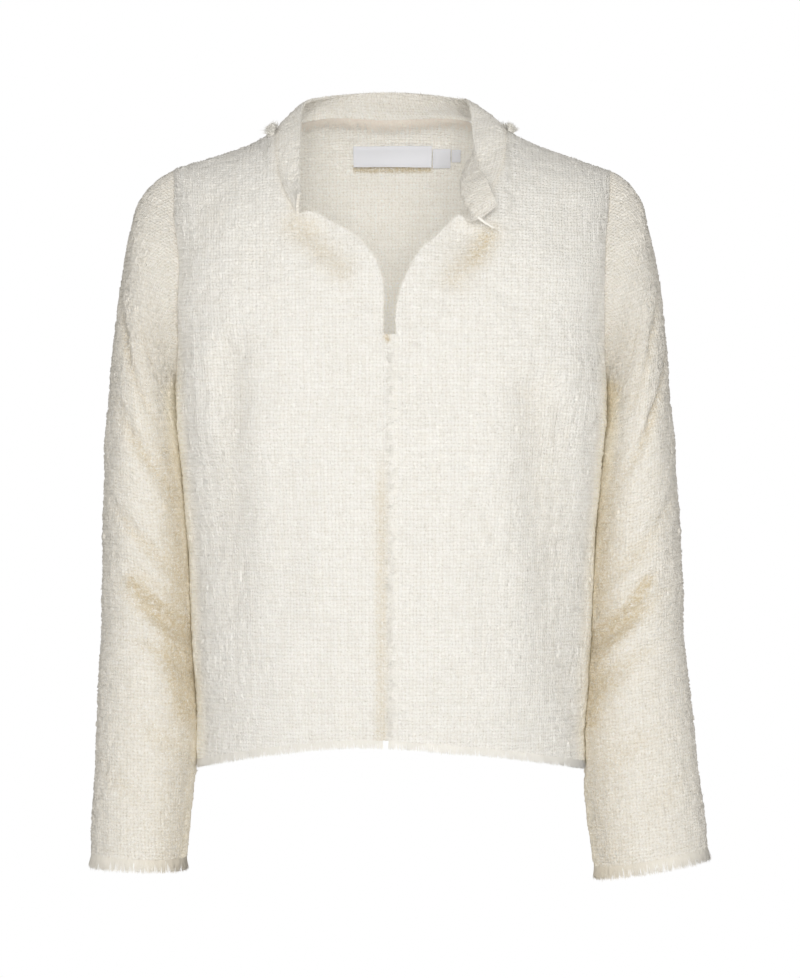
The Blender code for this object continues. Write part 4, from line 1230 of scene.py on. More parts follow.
def centre_shade(points):
    """Tan shade in the narrow hollow where the two front edges meet, below the chest."""
    hollow = np.exp(-(((points[:, 0] - CLOSURE["x"]) / CLOSURE["width"]) ** 2))
    low = np.clip((CLOSURE["top_z"] - points[:, 2]) / CLOSURE["fade"], 0, 1)
    return CLOSURE["strength"] * hollow * low


# Painted shade under the turned end of the collar and in the valleys beside the neckline. The last
# of these is the small dark spot of the hook, at the bottom of the neckline.
NECK_SHADE_AND_HOOK = dict(
    x0=(84, -84, 80, -74, -3.5),
    z0=(-97, -91, -102, -86, -184),
    x1=(52, -42, 72, -66, -3),
    z1=(-136, -128, -120, -92, -188),
    width=(11, 11, 8, 7, 2.4),
    strength=(0.42, 0.38, 0.4, 0.2, 0.9),
)


def painted_shade(table, points):
    """What a table's soft strokes paint at these points: shade, and the hook's spot."""
    shade = np.zeros(len(points))
    for row, _, away in strokes(table, points):
        shade += row["strength"] * np.exp(-(away**2))
    return shade


def front_paint(points, normals):
    """Tan shade under the turned collar, beside the neckline and down the front edge."""
    return painted_shade(NECK_SHADE_AND_HOOK, points) + centre_shade(points)


# Painted shade, the same amount all over a face.
def even_paint(amount):
    return lambda points, normals: np.full(len(points), amount)


def under_label(points, normals):
    """Painted shade: a little over the inside of the back, and more in the narrow gap below the
    neck label, which hangs a little free.
    """
    across = np.clip((36.0 - np.abs(points[:, 0] - 0.7)) / 2, 0, 1)
    return 0.12 + across * 1.2 * np.exp(-(((points[:, 2] + 25.5) / 3.4) ** 4))


def through_the_neck(points):
    """Where the inside of the back shows through the neck."""
    return (np.abs(points[:, 0]) < 92) & (points[:, 2] > -240)


# %% Make the fronts and the back
PANELS, PANEL_RIMS = {}, {}


def panel(node, face, outline, depth, **looks):
    """One of the fronts, or the back."""
    PANEL_RIMS[node] = to_cloth(face, outline)
    PANELS[node] = cloth_wall(
        "tweed_" + node,
        (outline, PANEL_RIMS[node]),
        lambda step: cloth_lattice(face, step),
        lambda places: cloth_points(face, places),
        depth,
        turned=face == BACK,
        **looks,
    )


for side in (RIGHT, LEFT):
    # The inner faces of the fronts take an even painted shade.
    looks = dict(paint=front_paint, inner_paint=even_paint(0.1))
    panel("front_" + SIDE_NAME[side], FRONT, *front_outline(side), **looks)
looks = dict(paint=even_paint(0.0), inner_paint=under_label, seen_inside=through_the_neck)
panel("back", BACK, *back_outline(), **looks)

# %% [markdown]
# ## Sleeves
#
# A sleeve is one long tube, set into the armhole at the top, bent at the elbow and hanging a
# little free of the body. Rings of points run down it, each blended from the armhole's own shape
# to a rounded oval. The creases inside the elbow are laid in as short slanting troughs. A curve
# with a bevel would give the tube in one step, but not the armhole's shape at its top.

# %% Sleeve tables
SLEEVE_STATION = (0, 16, 36, 66, 104, 158, 220, 285, 350, 395, 440, 510, 580, 628)
SLEEVE_Y = (0, 0, 0, 0, 1, 3, 6, 9, 10, 9, 6, 0, -10, -18)
SLEEVE = {
    RIGHT: dict(
        station=SLEEVE_STATION,
        out_x=(
            *(190, 203, 216.5, 225.8, 232.2, 239.3, 245.5),
            *(249.6, 250.8, 251.2, 253.2, 255.6, 258.4, 259),
        ),
        out_z=(-36, -44, -59, -86, -121, -171, -232, -296, -362, -405, -447, -514, -581, -626),
        in_x=(186, 187, 187.6, 187.8, 187.8, 187.2, 185, 178, 173, 170, 167, 166, 173, 177),
        in_z=(-228, -229, -231, -234, -238, -245, -262, -303, -362, -405, -447, -515, -583, -629),
        y=SLEEVE_Y,
        half_depth=(54, 58, 61, 64, 66, 68, 68, 66, 63, 61, 58, 54, 50, 47),
    ),
    LEFT: dict(
        station=SLEEVE_STATION,
        out_x=(
            *(190, 202.5, 215, 222.8, 230, 237, 241.8),
            *(247.4, 251.4, 253.3, 255, 262, 269.5, 272.8),
        ),
        out_z=(-36, -44, -60, -88, -121, -171, -232, -296, -362, -405, -447, -513, -583, -620),
        in_x=(
            *(186, 187, 187.6, 187.8, 187.8, 187.5, 186.5),
            *(180, 173.5, 170, 167.5, 163.5, 169, 175),
        ),
        in_z=(-228, -229, -231, -234, -238, -245, -262, -303, -362, -405, -447, -515, -592, -637),
        y=SLEEVE_Y,
        half_depth=(54, 58, 61, 64, 66, 68, 68, 66, 63, 61, 58, 53, 48, 45),
    ),
}
SLEEVE_SQUARENESS = 2.2
SLEEVE_CLEARANCE = 1.7
SLEEVE_LENGTH = 628.0
SLEEVE_SIDES = 192
ARMHOLE_BLEND = 150.0
FOLDS_FROM = 60.0
SLEEVE_FOLDS = {
    RIGHT: dict(
        station=(409, 424, 352, 262, 470, 160, 404, 436, 300),
        angle=(101, 140, 100, 92, 150, 60, 268, 232, 250),
        slope=(0.55, 0.45, 0.60, 0.9, 0.5, 0.9, -0.55, -0.35, -0.8),
        half_length=(33, 30, 30, 38, 40, 30, 50, 36, 34),
        half_width=(11, 11, 10, 13, 13, 14, 9, 9, 13),
        depth=(6.5, 5.0, 3.0, 4.0, 4.5, 3.5, 6.0, 4.5, 3.5),
    ),
    LEFT: dict(
        station=(415, 434, 358, 232, 480, 150, 410, 440, 296),
        angle=(104, 144, 96, 70, 146, 64, 266, 236, 254),
        slope=(0.52, 0.45, 0.55, 1.1, 0.45, 0.8, -0.5, -0.4, -0.8),
        half_length=(35, 30, 28, 40, 42, 28, 48, 34, 36),
        half_width=(11, 11, 11, 12, 14, 13, 9, 9, 13),
        depth=(6.5, 5.0, 3.0, 5.0, 4.5, 3.0, 6.0, 4.5, 3.5),
    ),
}
SMALL_SLEEVE_FOLDS = {
    RIGHT: dict(
        station=(378, 440, 330, 520, 210, 560, 120, 372, 470, 230),
        angle=(96, 96, 70, 110, 110, 66, 100, 240, 262, 290),
        slope=(0.5, 0.3, 0.7, 0.4, 0.8, 0.5, 0.6, -0.4, -0.5, -0.6),
        half_length=(26, 22, 24, 30, 26, 28, 22, 26, 24, 28),
        half_width=(6, 6, 8, 10, 9, 10, 8, 6, 8, 10),
        depth=(2.4, 2.2, 1.8, 1.6, 1.6, 1.4, 1.2, 2.0, 1.8, 1.5),
    ),
    LEFT: dict(
        station=(384, 448, 326, 530, 196, 570, 112, 380, 476, 236),
        angle=(90, 92, 62, 104, 104, 72, 96, 246, 258, 286),
        slope=(0.5, 0.35, 0.7, 0.4, 0.8, 0.5, 0.6, -0.4, -0.5, -0.6),
        half_length=(24, 24, 22, 30, 26, 26, 22, 24, 26, 26),
        half_width=(6, 6, 8, 10, 9, 10, 8, 6, 8, 10),
        depth=(2.4, 2.0, 1.8, 1.7, 1.5, 1.4, 1.2, 2.0, 1.8, 1.5),
    ),
}
SLEEVE_SHADE_STROKES = {
    RIGHT: dict(
        x0=(-189, -222, -183, -204),
        z0=(-284, -391, -440, -185),
        x1=(-182, -177, -173, -194),
        z1=(-407, -434, -500, -270),
        width=(10, 6, 12, 22),
        strength=(0.36, 0.7, 0.8, 0.15),
    ),
    LEFT: dict(
        x0=(189, 184, 220, 195, 171, 199),
        z0=(-226, -290, -391, -428, -452, -185),
        x1=(185, 178, 195, 171, 169, 196),
        z1=(-258, -415, -428, -454, -510, -230),
        width=(6, 10, 5, 8, 9, 16),
        strength=(0.75, 0.36, 0.65, 0.9, 0.7, 0.18),
    ),
}

# %% Sleeve shape


def armhole_ring(side, sides):
    """The armhole from the shoulder point down the front, through the underarm and up the back."""
    front = armhole_line(FRONT, side, sides // 2 + 1)
    back = armhole_line(BACK, side, sides // 2 + 1)[::-1]
    points = [cloth_points(FRONT, front)[0], cloth_points(BACK, back[1:-1])[0]]
    normals = [torso_normal(FRONT, *front.T), torso_normal(BACK, *back[1:-1].T)]
    return np.concatenate(points), np.concatenate(normals)


def sleeve_sections(side, stations, sides):
    """Rings of points, one for each station, before the armhole's own shape is blended in."""
    table = SLEEVE[side]
    column = {key: smooth(stations, table["station"], table[key]) for key in table}
    angle = np.linspace(0, 2 * math.pi, sides, endpoint=False)
    sine, cosine = np.sin(angle), np.cos(angle)
    reach = (np.abs(sine) ** SLEEVE_SQUARENESS + np.abs(cosine) ** SLEEVE_SQUARENESS)
    reach = reach ** (-1 / SLEEVE_SQUARENESS)
    outer = np.stack([side * column["out_x"], column["y"], column["out_z"]], axis=1)
    inner = np.stack([side * column["in_x"], column["y"], column["in_z"]], axis=1)
    middle, arm = (outer + inner) / 2, (outer - inner) / 2
    rings = middle[:, None] + arm[:, None] * (reach * cosine)[None, :, None]
    rings[:, :, 1] -= column["half_depth"][:, None] * (reach * sine)[None]
    return rings


def grid_normals(rings):
    """Outward normals of rings of points that run down a sleeve."""
    around = np.roll(rings, -1, axis=1) - np.roll(rings, 1, axis=1)
    down = np.gradient(rings, axis=0)
    normals = unit(np.cross(around, down))
    away = rings - rings.mean(axis=1, keepdims=True)
    return normals if (normals * away).sum() > 0 else -normals


# %% Room beside the body, and creases


def beside_body(rings, side):
    """The rings with what would press into the body's side laid against it, just clear."""
    x, y, z = np.moveaxis(rings, -1, 0)
    level = np.clip(z, SIDE_HEM_Z, UNDERARM_Z)
    half_width = smooth(level, TORSO["z"], TORSO["half_width"])
    front = smooth(level, TORSO["z"], TORSO["front"])
    deep = np.where(y < 0, front, smooth(level, TORSO["z"], TORSO["back"]))
    squareness = smooth(level, TORSO["z"], TORSO["squareness"])
    keep = np.clip(1 - (np.abs(y) / deep) ** squareness, 0, 1) ** (1 / squareness)
    below_hem = np.clip((z - SIDE_HEM_Z + 30) / 20, 0, 1)
    beside = below_hem * np.clip((UNDERARM_Z - 2 - z) / 8, 0, 1)
    limit = half_width * keep + SLEEVE_CLEARANCE
    out = side * x
    pushed = np.where(beside > 0, np.maximum(out, out + (limit - out) * beside), out)
    laid = rings.copy()
    laid[:, :, 0] = side * pushed
    return laid


def sleeve_press(table, stations, degrees):
    """How far a table's creases press the sleeve in, for each station and angle."""
    press = np.zeros((len(stations), len(degrees)))
    for fold in rows(table):
        turn = degrees[None] - fold["angle"]
        away = stations[:, None] - fold["station"] - fold["slope"] * turn
        reach = np.exp(-((turn / fold["half_length"]) ** 2) - (away / fold["half_width"]) ** 2)
        press += fold["depth"] * reach
    return press * np.clip(stations / FOLDS_FROM, 0, 1)[:, None]


def sleeve_rings(side, stations, sides):
    """Rings of the sleeve's outer face, their normals, and how deep the creases are there."""
    rings = sleeve_sections(side, stations, sides)
    armhole, torso_side = armhole_ring(side, sides)
    blend = np.clip(1 - stations / ARMHOLE_BLEND, 0, 1) ** 2
    rings = rings + blend[:, None, None] * (armhole - rings[0])[None]
    normals = grid_normals(rings)
    degrees = np.degrees(np.linspace(0, 2 * math.pi, sides, endpoint=False))
    large = sleeve_press(SLEEVE_FOLDS[side], stations, degrees)
    small = sleeve_press(SMALL_SLEEVE_FOLDS[side], stations, degrees)
    rings = beside_body(rings - normals * (large + small)[:, :, None], side)
    normals = grid_normals(rings)
    normals[0] = unit(normals[0] + torso_side)
    return rings, normals, large + small


# %% Make the sleeves
STATIONS = np.linspace(0, SLEEVE_LENGTH, 413)
SLEEVE_UNEVEN = 0.6
CALM_ROWS, CALM_FROM_SEAM, CALM_FADE = 40, 130, 30


def between(table, places):
    """A table of rows and columns read at fractional places, between its nearest four values."""
    row = np.clip(places[:, 0], 0, len(table) - 1.001)
    spot = np.clip(places[:, 1], 0, table.shape[1] - 1.001)
    low, left = row.astype(int), spot.astype(int)
    down, along = (row - low)[:, None], (spot - left)[:, None]
    upper = table[low, left] * (1 - along) + table[low, left + 1] * along
    lower = table[low + 1, left] * (1 - along) + table[low + 1, left + 1] * along
    return upper * (1 - down) + lower * down


def sleeve_piece(name, side):
    """A sleeve as one strip of cloth that meets itself in the seam along the inside of the arm."""
    rings, normals, press = sleeve_rings(side, STATIONS, SLEEVE_SIDES)
    half = SLEEVE_SIDES // 2
    order = (np.arange(SLEEVE_SIDES + 1) + half) % SLEEVE_SIDES
    rings, normals, press = rings[:, order], normals[:, order], press[:, order]
    arc = length_along(rings, axis=1)
    arc -= arc[:, [half]]
    height = length_along(rings[::-1])[::-1]
    table = np.concatenate([rings, normals, press[..., None]], axis=2)

    def shape(places):
        found = between(table, places)
        points, outward, pressed = found[:, :3], unit(found[:, 3:6]), found[:, 6]
        spots = spots_at(places)
        calm = np.clip(places[:, 0] / CALM_ROWS, 0, 1)
        calm *= np.clip((CALM_FROM_SEAM - np.abs(spots[:, 0])) / CALM_FADE, 0, 1)
        wavy = ripple(spots, UNEVEN) * SLEEVE_UNEVEN * calm
        return points - outward * wavy[:, None], outward, pressed

    def spots_at(places):
        return between(np.stack([arc, height], axis=-1), places)

    def lattice(step):
        """Places a step apart round the sleeve and up it from the cuff."""
        levels = np.arange(step, height.max(), step)
        columns = np.arange(arc.shape[1])
        index = np.arange(len(STATIONS))
        found = [np.interp(levels, height[::-1, column], index[::-1]) for column in columns]
        row_at = np.stack(found, axis=1)
        places, spots = [], []
        for h, row in zip(levels, row_at):
            reach = between(arc[..., None], np.stack([row, columns], axis=1))[:, 0]
            u = np.arange(math.ceil(reach[0] / step), math.floor(reach[-1] / step) + 1) * step
            column = np.interp(u, reach, columns)
            places.append(np.stack([np.interp(column, columns, row), column], axis=1))
            spots.append(np.stack([u, np.full(len(u), h)], axis=1))
        return np.concatenate(places), np.concatenate(spots)

    last = len(STATIONS) - 1
    around = np.linspace(0, SLEEVE_SIDES, SLEEVE_SIDES + 1)
    down = np.arange(0, last + 1, 2.0)
    runs = [
        np.stack([np.zeros(len(around)), around], axis=1),
        np.stack([down, np.full(len(down), SLEEVE_SIDES)], axis=1),
        np.stack([np.full(len(around), last), around[::-1]], axis=1),
        np.stack([down[::-1], np.zeros(len(down))], axis=1),
    ]
    depth = ditch_depths(list(zip(("armhole", "side", "raw", "side"), runs)))
    outline = joined(*runs)

    def paint(points, outward):
        """Painted shade: tan all over, and more where the sleeve turns in towards the body, most of
        it below the elbow. The painted shade of the creases is drawn as seen from the front, and is
        weaker behind."""
        turned_in = np.clip(-side * outward[:, 0] * 1.25 - 0.15, 0, 1)
        low = np.clip((UNDERARM_Z - 20 - points[:, 2]) / 190, 0, 1)
        in_front = np.where(outward[:, 1] < 0.2, 1.0, 0.5)
        return 0.25 + turned_in * low * 0.35 + painted_shade(SLEEVE_SHADE_STROKES[side], points) * in_front

    rim = (outline, spots_at(outline))
    # The sleeve's inner face takes an even painted shade.
    looks = dict(paint=paint, inner_paint=even_paint(0.2), fold_shade_depth=10.0)
    piece = cloth_wall(name, rim, lattice, shape, depth, **looks)
    return piece, rings[:, :-1], normals[:, :-1], float(np.ptp(arc, axis=1).max())


SLEEVES = {side: sleeve_piece("tweed_sleeve_" + SIDE_NAME[side], side) for side in (RIGHT, LEFT)}
print("sleeve width in mm:", [round(made[3]) for made in SLEEVES.values()])

# %% [markdown]
# ## Collar
#
# A narrow stand collar is a straight band sewn to the neck seam, its free edge left raw. Worn
# open, it leans in against the neck, and its left front end has turned outwards like a small
# flap. The band is a sheet of curves that rise from the seam, each through a point halfway up.
# Bending a flat strip would be closer to the sewing, but the flap is easier to place by points.

# %% Collar tables
COLLAR = dict(
    along=(0.0, 0.07, 0.16, 0.27, 0.36, 0.5, 0.64, 0.73, 0.80, 0.86, 0.93, 1.0),
    x=(-77.0, -78.0, -78.0, -76.0, -60.0, 0.0, 56.0, 68.0, 70.0, 73.5, 81.5, 88.7),
    y=(-112.0, -92.0, -52.0, 6.0, 48.0, 64.0, 48.0, 6.0, -45.0, -86.0, -106.0, -110.0),
    z=(-64.0, -50.0, -10.0, 24.0, 34.0, 40.0, 33.0, 23.0, -12.0, -39.0, -54.0, -75.0),
    mid_x=(-79.2, -84.8, -88.6, -87.8, -65.2, 0.0, 60.0, 83.9, 84.5, 65.5, 60.5, 74.0),
    mid_y=(-105.2, -90.0, -50.8, 6.0, 47.8, 64.8, 49.5, 2.5, -42.0, -71.0, -93.0, -111.0),
    mid_z=(-70.2, -54.2, -13.5, 15.0, 24.8, 26.5, 24.2, 14.8, -9.0, -40.0, -64.0, -86.0),
)
COLLAR_ALONG = 341
COLLAR_RISE = 27

# %% Collar shape


def neck_seam_points(fine):
    """The neck seam on the cloth's outer face, from the right front end round to the left one,
    with the body's normals there and the direction away from the neck opening."""
    right = line_of(FRONT, NECK_SEAM[RIGHT], RIGHT, 8 * fine + 1, True)[::-1]
    left = line_of(FRONT, NECK_SEAM[LEFT], LEFT, 8 * fine + 1, True)
    back = neck_back_line(16 * fine + 1)
    parts = [(FRONT, right[:-1]), (BACK, back), (FRONT, left[1:])]
    points = np.concatenate([torso(face, *line.T)[0] for face, line in parts])
    normals = np.concatenate([torso_normal(face, *line.T) for face, line in parts])
    along = unit(np.gradient(points, axis=0))
    outward = unit(np.cross(normals, along))
    away = points - points.mean(axis=0)
    outward *= np.sign((outward * away).sum())
    return points, normals, outward


def collar_grid(count, levels):
    """Rows of points from the neck seam up to the band's free edge, with their outward normals."""
    base, normals, outward = neck_seam_points(10)
    picked = evenly(base, count)
    base, normals = taken(base, picked), unit(taken(normals, picked))
    outward = unit(taken(outward, picked))
    along = np.linspace(0, 1, count)
    column = {key: smooth(along, COLLAR["along"], COLLAR[key]) for key in COLLAR}
    edge = np.stack([column["x"], column["y"], column["z"]], axis=1)
    middle = np.stack([column["mid_x"], column["mid_y"], column["mid_z"]], axis=1)
    bend = 2 * middle - (base + edge) / 2
    up = np.linspace(0, 1, levels)[:, None, None]
    grid = (1 - up) ** 2 * base + 2 * up * (1 - up) * bend + up**2 * edge
    outer = unit(np.cross(np.gradient(grid, axis=1), np.gradient(grid, axis=0)))
    outer *= np.sign((outer[0] * outward).sum())
    outer[0] = unit(outer[0] + normals)
    return grid, outer


# %% Closing a grid of points


def sheet_faces(levels, count):
    """The quads of a grid of points, row after row."""
    a = (np.arange(levels - 1)[:, None] * count + np.arange(count - 1)[None]).ravel()
    quads = np.stack([a, a + 1, a + 1 + count, a + count], axis=1)
    return [tuple(quad) for quad in quads.tolist()]


def facing_out(points, normals, faces):
    """Faces turned so that they run round their outward normals."""
    first = faces[len(faces) // 2]
    corner = points[list(first[:3])]
    turned = np.dot(np.cross(corner[1] - corner[0], corner[2] - corner[0]), normals[first[0]])
    return faces if turned > 0 else [tuple(reversed(face)) for face in faces]


def closed_sheet(name, grid, outer, lift, inner_lift, spots, finish, wall):
    """A wall from a grid of points, with a height to add on its outer and on its inner face."""
    levels, count = grid.shape[:2]
    normals = outer.reshape(-1, 3)
    base = grid.reshape(-1, 3)
    top = base + normals * lift.reshape(-1, 1)
    under = base - normals * (wall + inner_lift.reshape(-1, 1))
    faces = facing_out(base, normals, sheet_faces(levels, count))
    total = len(top)
    below = [tuple(index + total for index in reversed(face)) for face in faces]
    rim = [(end, start, start + total, end + total) for start, end in sorted(rim_edges(faces))]
    both = np.concatenate([spots.reshape(-1, 2)] * 2)
    points = np.concatenate([top, under])
    return mesh_piece(name, points, faces + below + rim, both, finish, SHARP_ABOVE)


# %% Make the collar
COLLAR_GRID, COLLAR_OUT = collar_grid(COLLAR_ALONG, COLLAR_RISE)
COLLAR_LENGTH = length_along(COLLAR_GRID[0])
COLLAR_HEIGHT = length_along(COLLAR_GRID)
spots = np.stack([np.repeat(COLLAR_LENGTH[None], COLLAR_RISE, axis=0), COLLAR_HEIGHT], axis=-1)
seam = 0.5 * np.exp(-((COLLAR_HEIGHT / DITCH_WIDTH) ** 2))
relief = weave_relief(spots.reshape(-1, 2)).reshape(COLLAR_HEIGHT.shape) * (1 - seam * 0.6)
COLLAR_PIECE = closed_sheet(
    "tweed_collar", COLLAR_GRID, COLLAR_OUT, relief - seam, relief, spots, TWEED, WALL
)
# Painted shade on both faces of the collar, more by its seam, and painted light as emission: a
# little on its outer face, more low on its inner one.
seam, low_inside = seam.ravel(), 0.67 * np.exp(-((COLLAR_HEIGHT.ravel() / 8.0) ** 2))
add_mask(COLLAR_PIECE, "shade", np.concatenate([0.12 + seam * 0.4, 0.2 + seam * 0.3]))
add_mask(COLLAR_PIECE, "lit_through", np.concatenate([np.full(seam.size, 0.25), low_inside]))
print("collar along in mm:", round(float(COLLAR_LENGTH[-1])))
print("collar up in mm:", round(float(COLLAR_HEIGHT[-1].mean()), 1))

# %% [markdown]
# ## Frayed edges
#
# The raw edges have had their last few cross yarns pulled out, so the rest stand free as a short
# fringe. A fringe of strips would look cut from paper, and hair particles can't be exported. Here
# each thread is its own thin tapered tube, with its own length, lean and bend, and hundreds are
# joined into one mesh.

# %% Thread builder
THREAD_SIDES = 3
TAPER = 0.55


def thread_pattern(segments):
    """The triangles of one thread: a cap at its root, its sides, and the point at its tip."""
    pattern = [(2, 1, 0)]
    for level in range(segments):
        for spot in range(THREAD_SIDES):
            a = level * THREAD_SIDES + spot
            b = level * THREAD_SIDES + (spot + 1) % THREAD_SIDES
            if level == segments - 1:
                pattern.append((a, b, segments * THREAD_SIDES))
            else:
                pattern.append((a, b, b + THREAD_SIDES))
                pattern.append((a, b + THREAD_SIDES, a + THREAD_SIDES))
    return pattern


def thread_mesh(roots, ways, bends, lengths, radii, segments, outs, lean_out=2.5):
    """Points, faces and shading normals of tapered threads. Each runs its way from its root and
    bends aside. Its normals lean out from the cloth, so that a dense fringe is lit as cloth is."""
    total = len(roots)
    across = unit(np.cross(ways, np.roll(ways, 1, axis=1) + 0.3))
    over = np.cross(ways, across)
    share = np.linspace(0, 1, segments + 1)[None, :, None]
    line = roots[:, None] + ways[:, None] * lengths[:, None, None] * share
    line = line + bends[:, None] * (share**2) * lengths[:, None, None]
    turn = np.linspace(0, 2 * math.pi, THREAD_SIDES, endpoint=False)
    cosine, sine = np.cos(turn)[None, :, None], np.sin(turn)[None, :, None]
    circle = across[:, None] * cosine + over[:, None] * sine
    taper = (1 - TAPER * share[:, :-1] ** 1.5) * radii[:, None, None]
    rings = line[:, :-1, None] + circle[:, None] * taper[..., None]
    points = np.concatenate([rings.reshape(total, -1, 3), line[:, -1:]], axis=1)
    starts = np.arange(total) * points.shape[1]
    faces = np.array(thread_pattern(segments))[None] + starts[:, None, None]
    lit = unit(np.broadcast_to(circle[:, None], rings.shape) + lean_out * outs[:, None, None])
    tips = unit(ways + bends + lean_out * outs)
    lit = np.concatenate([lit.reshape(total, -1, 3), tips[:, None]], axis=1)
    return points.reshape(-1, 3), faces.reshape(-1, 3).tolist(), lit.reshape(-1, 3)


def yarn_piece(name, parts, finish):
    """Several sets of threads as one mesh."""
    points, faces, lit, start = [], [], [], 0
    for some, its, its_lit in parts:
        points.append(some)
        faces += [tuple(index + start for index in face) for face in turned_out(some, its)]
        lit.append(its_lit)
        start += len(some)
    piece = mesh_piece(name, np.concatenate(points), faces, None, finish)
    piece.data.normals_split_custom_set_from_vertices(np.concatenate(lit).tolist())
    return piece


# %% Threads along an edge
FEW, LONGER = 0.04, 1.12


def frayed(path, down, out, length, per_mm, seed, radius=0.34, wild=0.16, evenness=0.8,
           deep=0.7, lean_out=2.5):
    """Threads that hang from a path, close together, each a little out of line. The least length
    is the evenness times the length, and the roots lie as far as deep in front and behind."""
    draw = np.random.default_rng(seed)
    run = length_along(path)
    count = int(run[-1] * per_mm)
    at = (np.arange(count) + draw.uniform(-0.4, 0.4, count) + 0.5) / count * run[-1]
    place = np.interp(at, run, np.arange(len(path)))
    root, way, face = taken(path, place), unit(taken(down, place)), unit(taken(out, place))
    along = unit(np.cross(way, face))
    clump = ripple(np.stack([at, np.zeros(count)], axis=1), waves(seed + 1, 8, 5.0, 16.0))
    lean = along * (draw.normal(0, wild, count) + clump * 0.12)[:, None]
    lean = lean + face * draw.normal(0.03, wild * 0.6, count)[:, None]
    bends = along * draw.normal(0, wild * 1.2, count)[:, None]
    bends = bends + face * draw.normal(0.02, wild, count)[:, None]
    lengths = length * draw.uniform(evenness, 1.03, count)
    lengths = lengths * np.where(draw.uniform(size=count) < FEW, LONGER, 1.0)
    radii = radius * draw.uniform(0.6, 1.25, count)
    root = root + face * draw.uniform(-deep, deep, count)[:, None]
    return thread_mesh(root, unit(way + lean), bends, lengths, radii, 4, face, lean_out)


# %% Hem fringes
FRINGES = {}


def hem_threads(name, face, start, end, seed):
    """The fringe of a hem between two places of s."""
    line = hem_line(face, start, end, 200)
    points, normals, _ = cloth_points(face, line)
    above, _, _ = cloth_points(face, line + np.array([0.0, 0.02]))
    down = unit(points - above)
    path = points - normals * WALL / 2 - down * 1.5
    threads = frayed(path, down, normals, 9.2, 5.6, seed, wild=0.05, evenness=0.9)
    return yarn_piece(name, [threads], YARN)


for side in (RIGHT, LEFT):
    start = edge_line(side, 20)[-1, 0]
    if side == LEFT:
        start = start * 0.45 + edge_line(RIGHT, 20)[-1, 0] * 0.55
    name = "hem_threads_" + SIDE_NAME[side]
    FRINGES["hem_fringe_" + SIDE_NAME[side]] = hem_threads(name, FRONT, start, side, 30 + side)
FRINGES["hem_fringe_back"] = hem_threads("hem_threads_back", BACK, -1.0, 1.0, 41)
print("hem fringes:", list(FRINGES))

# %% Cuff fringes
for side in (RIGHT, LEFT):
    _, rings, normals, _ = SLEEVES[side]
    edge = np.concatenate([rings[-1], rings[-1][:1]])
    out = np.concatenate([normals[-1], normals[-1][:1]])
    down = unit(edge - np.concatenate([rings[-8], rings[-8][:1]]))
    path = edge - out * WALL / 2 - down * 1.0
    threads = frayed(path, down + out * 0.1, out, 13.2, 6.4, 20 + side, wild=0.055, evenness=0.9)
    piece = yarn_piece("cuff_threads_" + SIDE_NAME[side], [threads], YARN)
    # Painted shade on the cuff's threads, more on the side turned towards the body.
    towards_body = -side * (threads[0] - edge.mean(axis=0))[:, 0] / np.ptp(edge[:, 0])
    add_mask(piece, "shade", 0.25 + 1.1 * np.clip(towards_body, 0, 1))
    FRINGES["cuff_fringe_" + SIDE_NAME[side]] = piece

# %% Fringe of the front edge
line = edge_line(LEFT, 240)[1:]
points, normals, _ = cloth_points(FRONT, line)
across = np.tile([-1.0, 0.0, 0.0], (len(points), 1))
across = unit(across - normals * (across * normals).sum(axis=1, keepdims=True))
path = points + normals * 0.15 - across * 1.4
threads = frayed(path, across, normals, 13.0, 1.5, 5, 0.3, wild=0.07, evenness=0.6, deep=0.2)
FRINGES["front_fringe_left"] = yarn_piece("front_edge_threads", [threads], YARN)
add_mask(FRINGES["front_fringe_left"], "shade", centre_shade(threads[0]) * 0.7)

# %% Woven strip behind the front fringe
STRIP_ROWS, STRIP_COLUMNS = 641, 17
share = np.linspace(0.01, 0.985, STRIP_COLUMNS)[None, :, None]
left_edge, right_edge = [edge_line(side, STRIP_ROWS)[:, None] for side in (LEFT, RIGHT)]
places = (left_edge * (1 - share) + right_edge * share).reshape(-1, 2)
points, normals, _ = cloth_points(FRONT, places)
spots = to_cloth(FRONT, places)
lift = weave_relief(spots)
STRIP = closed_sheet(
    "front_edge_weave",
    points.reshape(STRIP_ROWS, STRIP_COLUMNS, 3),
    normals.reshape(STRIP_ROWS, STRIP_COLUMNS, 3),
    lift,
    np.zeros(len(lift)),
    spots,
    TWEED,
    1.4,
)
add_mask(STRIP, "shade", np.tile(front_paint(points, normals), 2))
print("strip's faces:", len(STRIP.data.polygons))

# %% Neck fringes
base, normals, outward = neck_seam_points(10)
for side in (RIGHT, LEFT):
    nearest = np.argmin(np.abs(base - np.array([side * NECK_X, 0.0, 0.0])).sum(axis=1))
    stretch = slice(nearest - 20, nearest + 11)
    foot = base[stretch] + outward[stretch] * 4.2 + normals[stretch] * 0.2
    rise_way = unit(normals[stretch] * 0.3 + outward[stretch] * 0.1 + np.array([0.0, 0.0, 1.0]))
    tuft = dict(radius=0.56, wild=0.4, evenness=0.5, deep=2.6, lean_out=0.0)
    threads = frayed(foot, rise_way, outward[stretch], 8.2, 8.0, 7 + side, **tuft)
    piece = yarn_piece("neck_threads_" + SIDE_NAME[side], [threads], YARN)
    FRINGES["neck_fringe_" + SIDE_NAME[side]] = piece

line = neck_back_line(200)[9:-9]
points, normals, _ = cloth_points(BACK, line)
below, _, _ = cloth_points(BACK, line - np.array([0.0, 0.02]))
down = unit(below - points)
path = points - normals * (WALL + 1.8) - down * 6.0
threads = frayed(path, down, -normals, 14.0, 5.0, 11, wild=0.2, evenness=0.5)
FRINGES["neck_fringe_back"] = yarn_piece("neck_threads_back", [threads], TAN_YARN)
print("threads' faces:", sum(len(piece.data.polygons) for piece in FRINGES.values()))

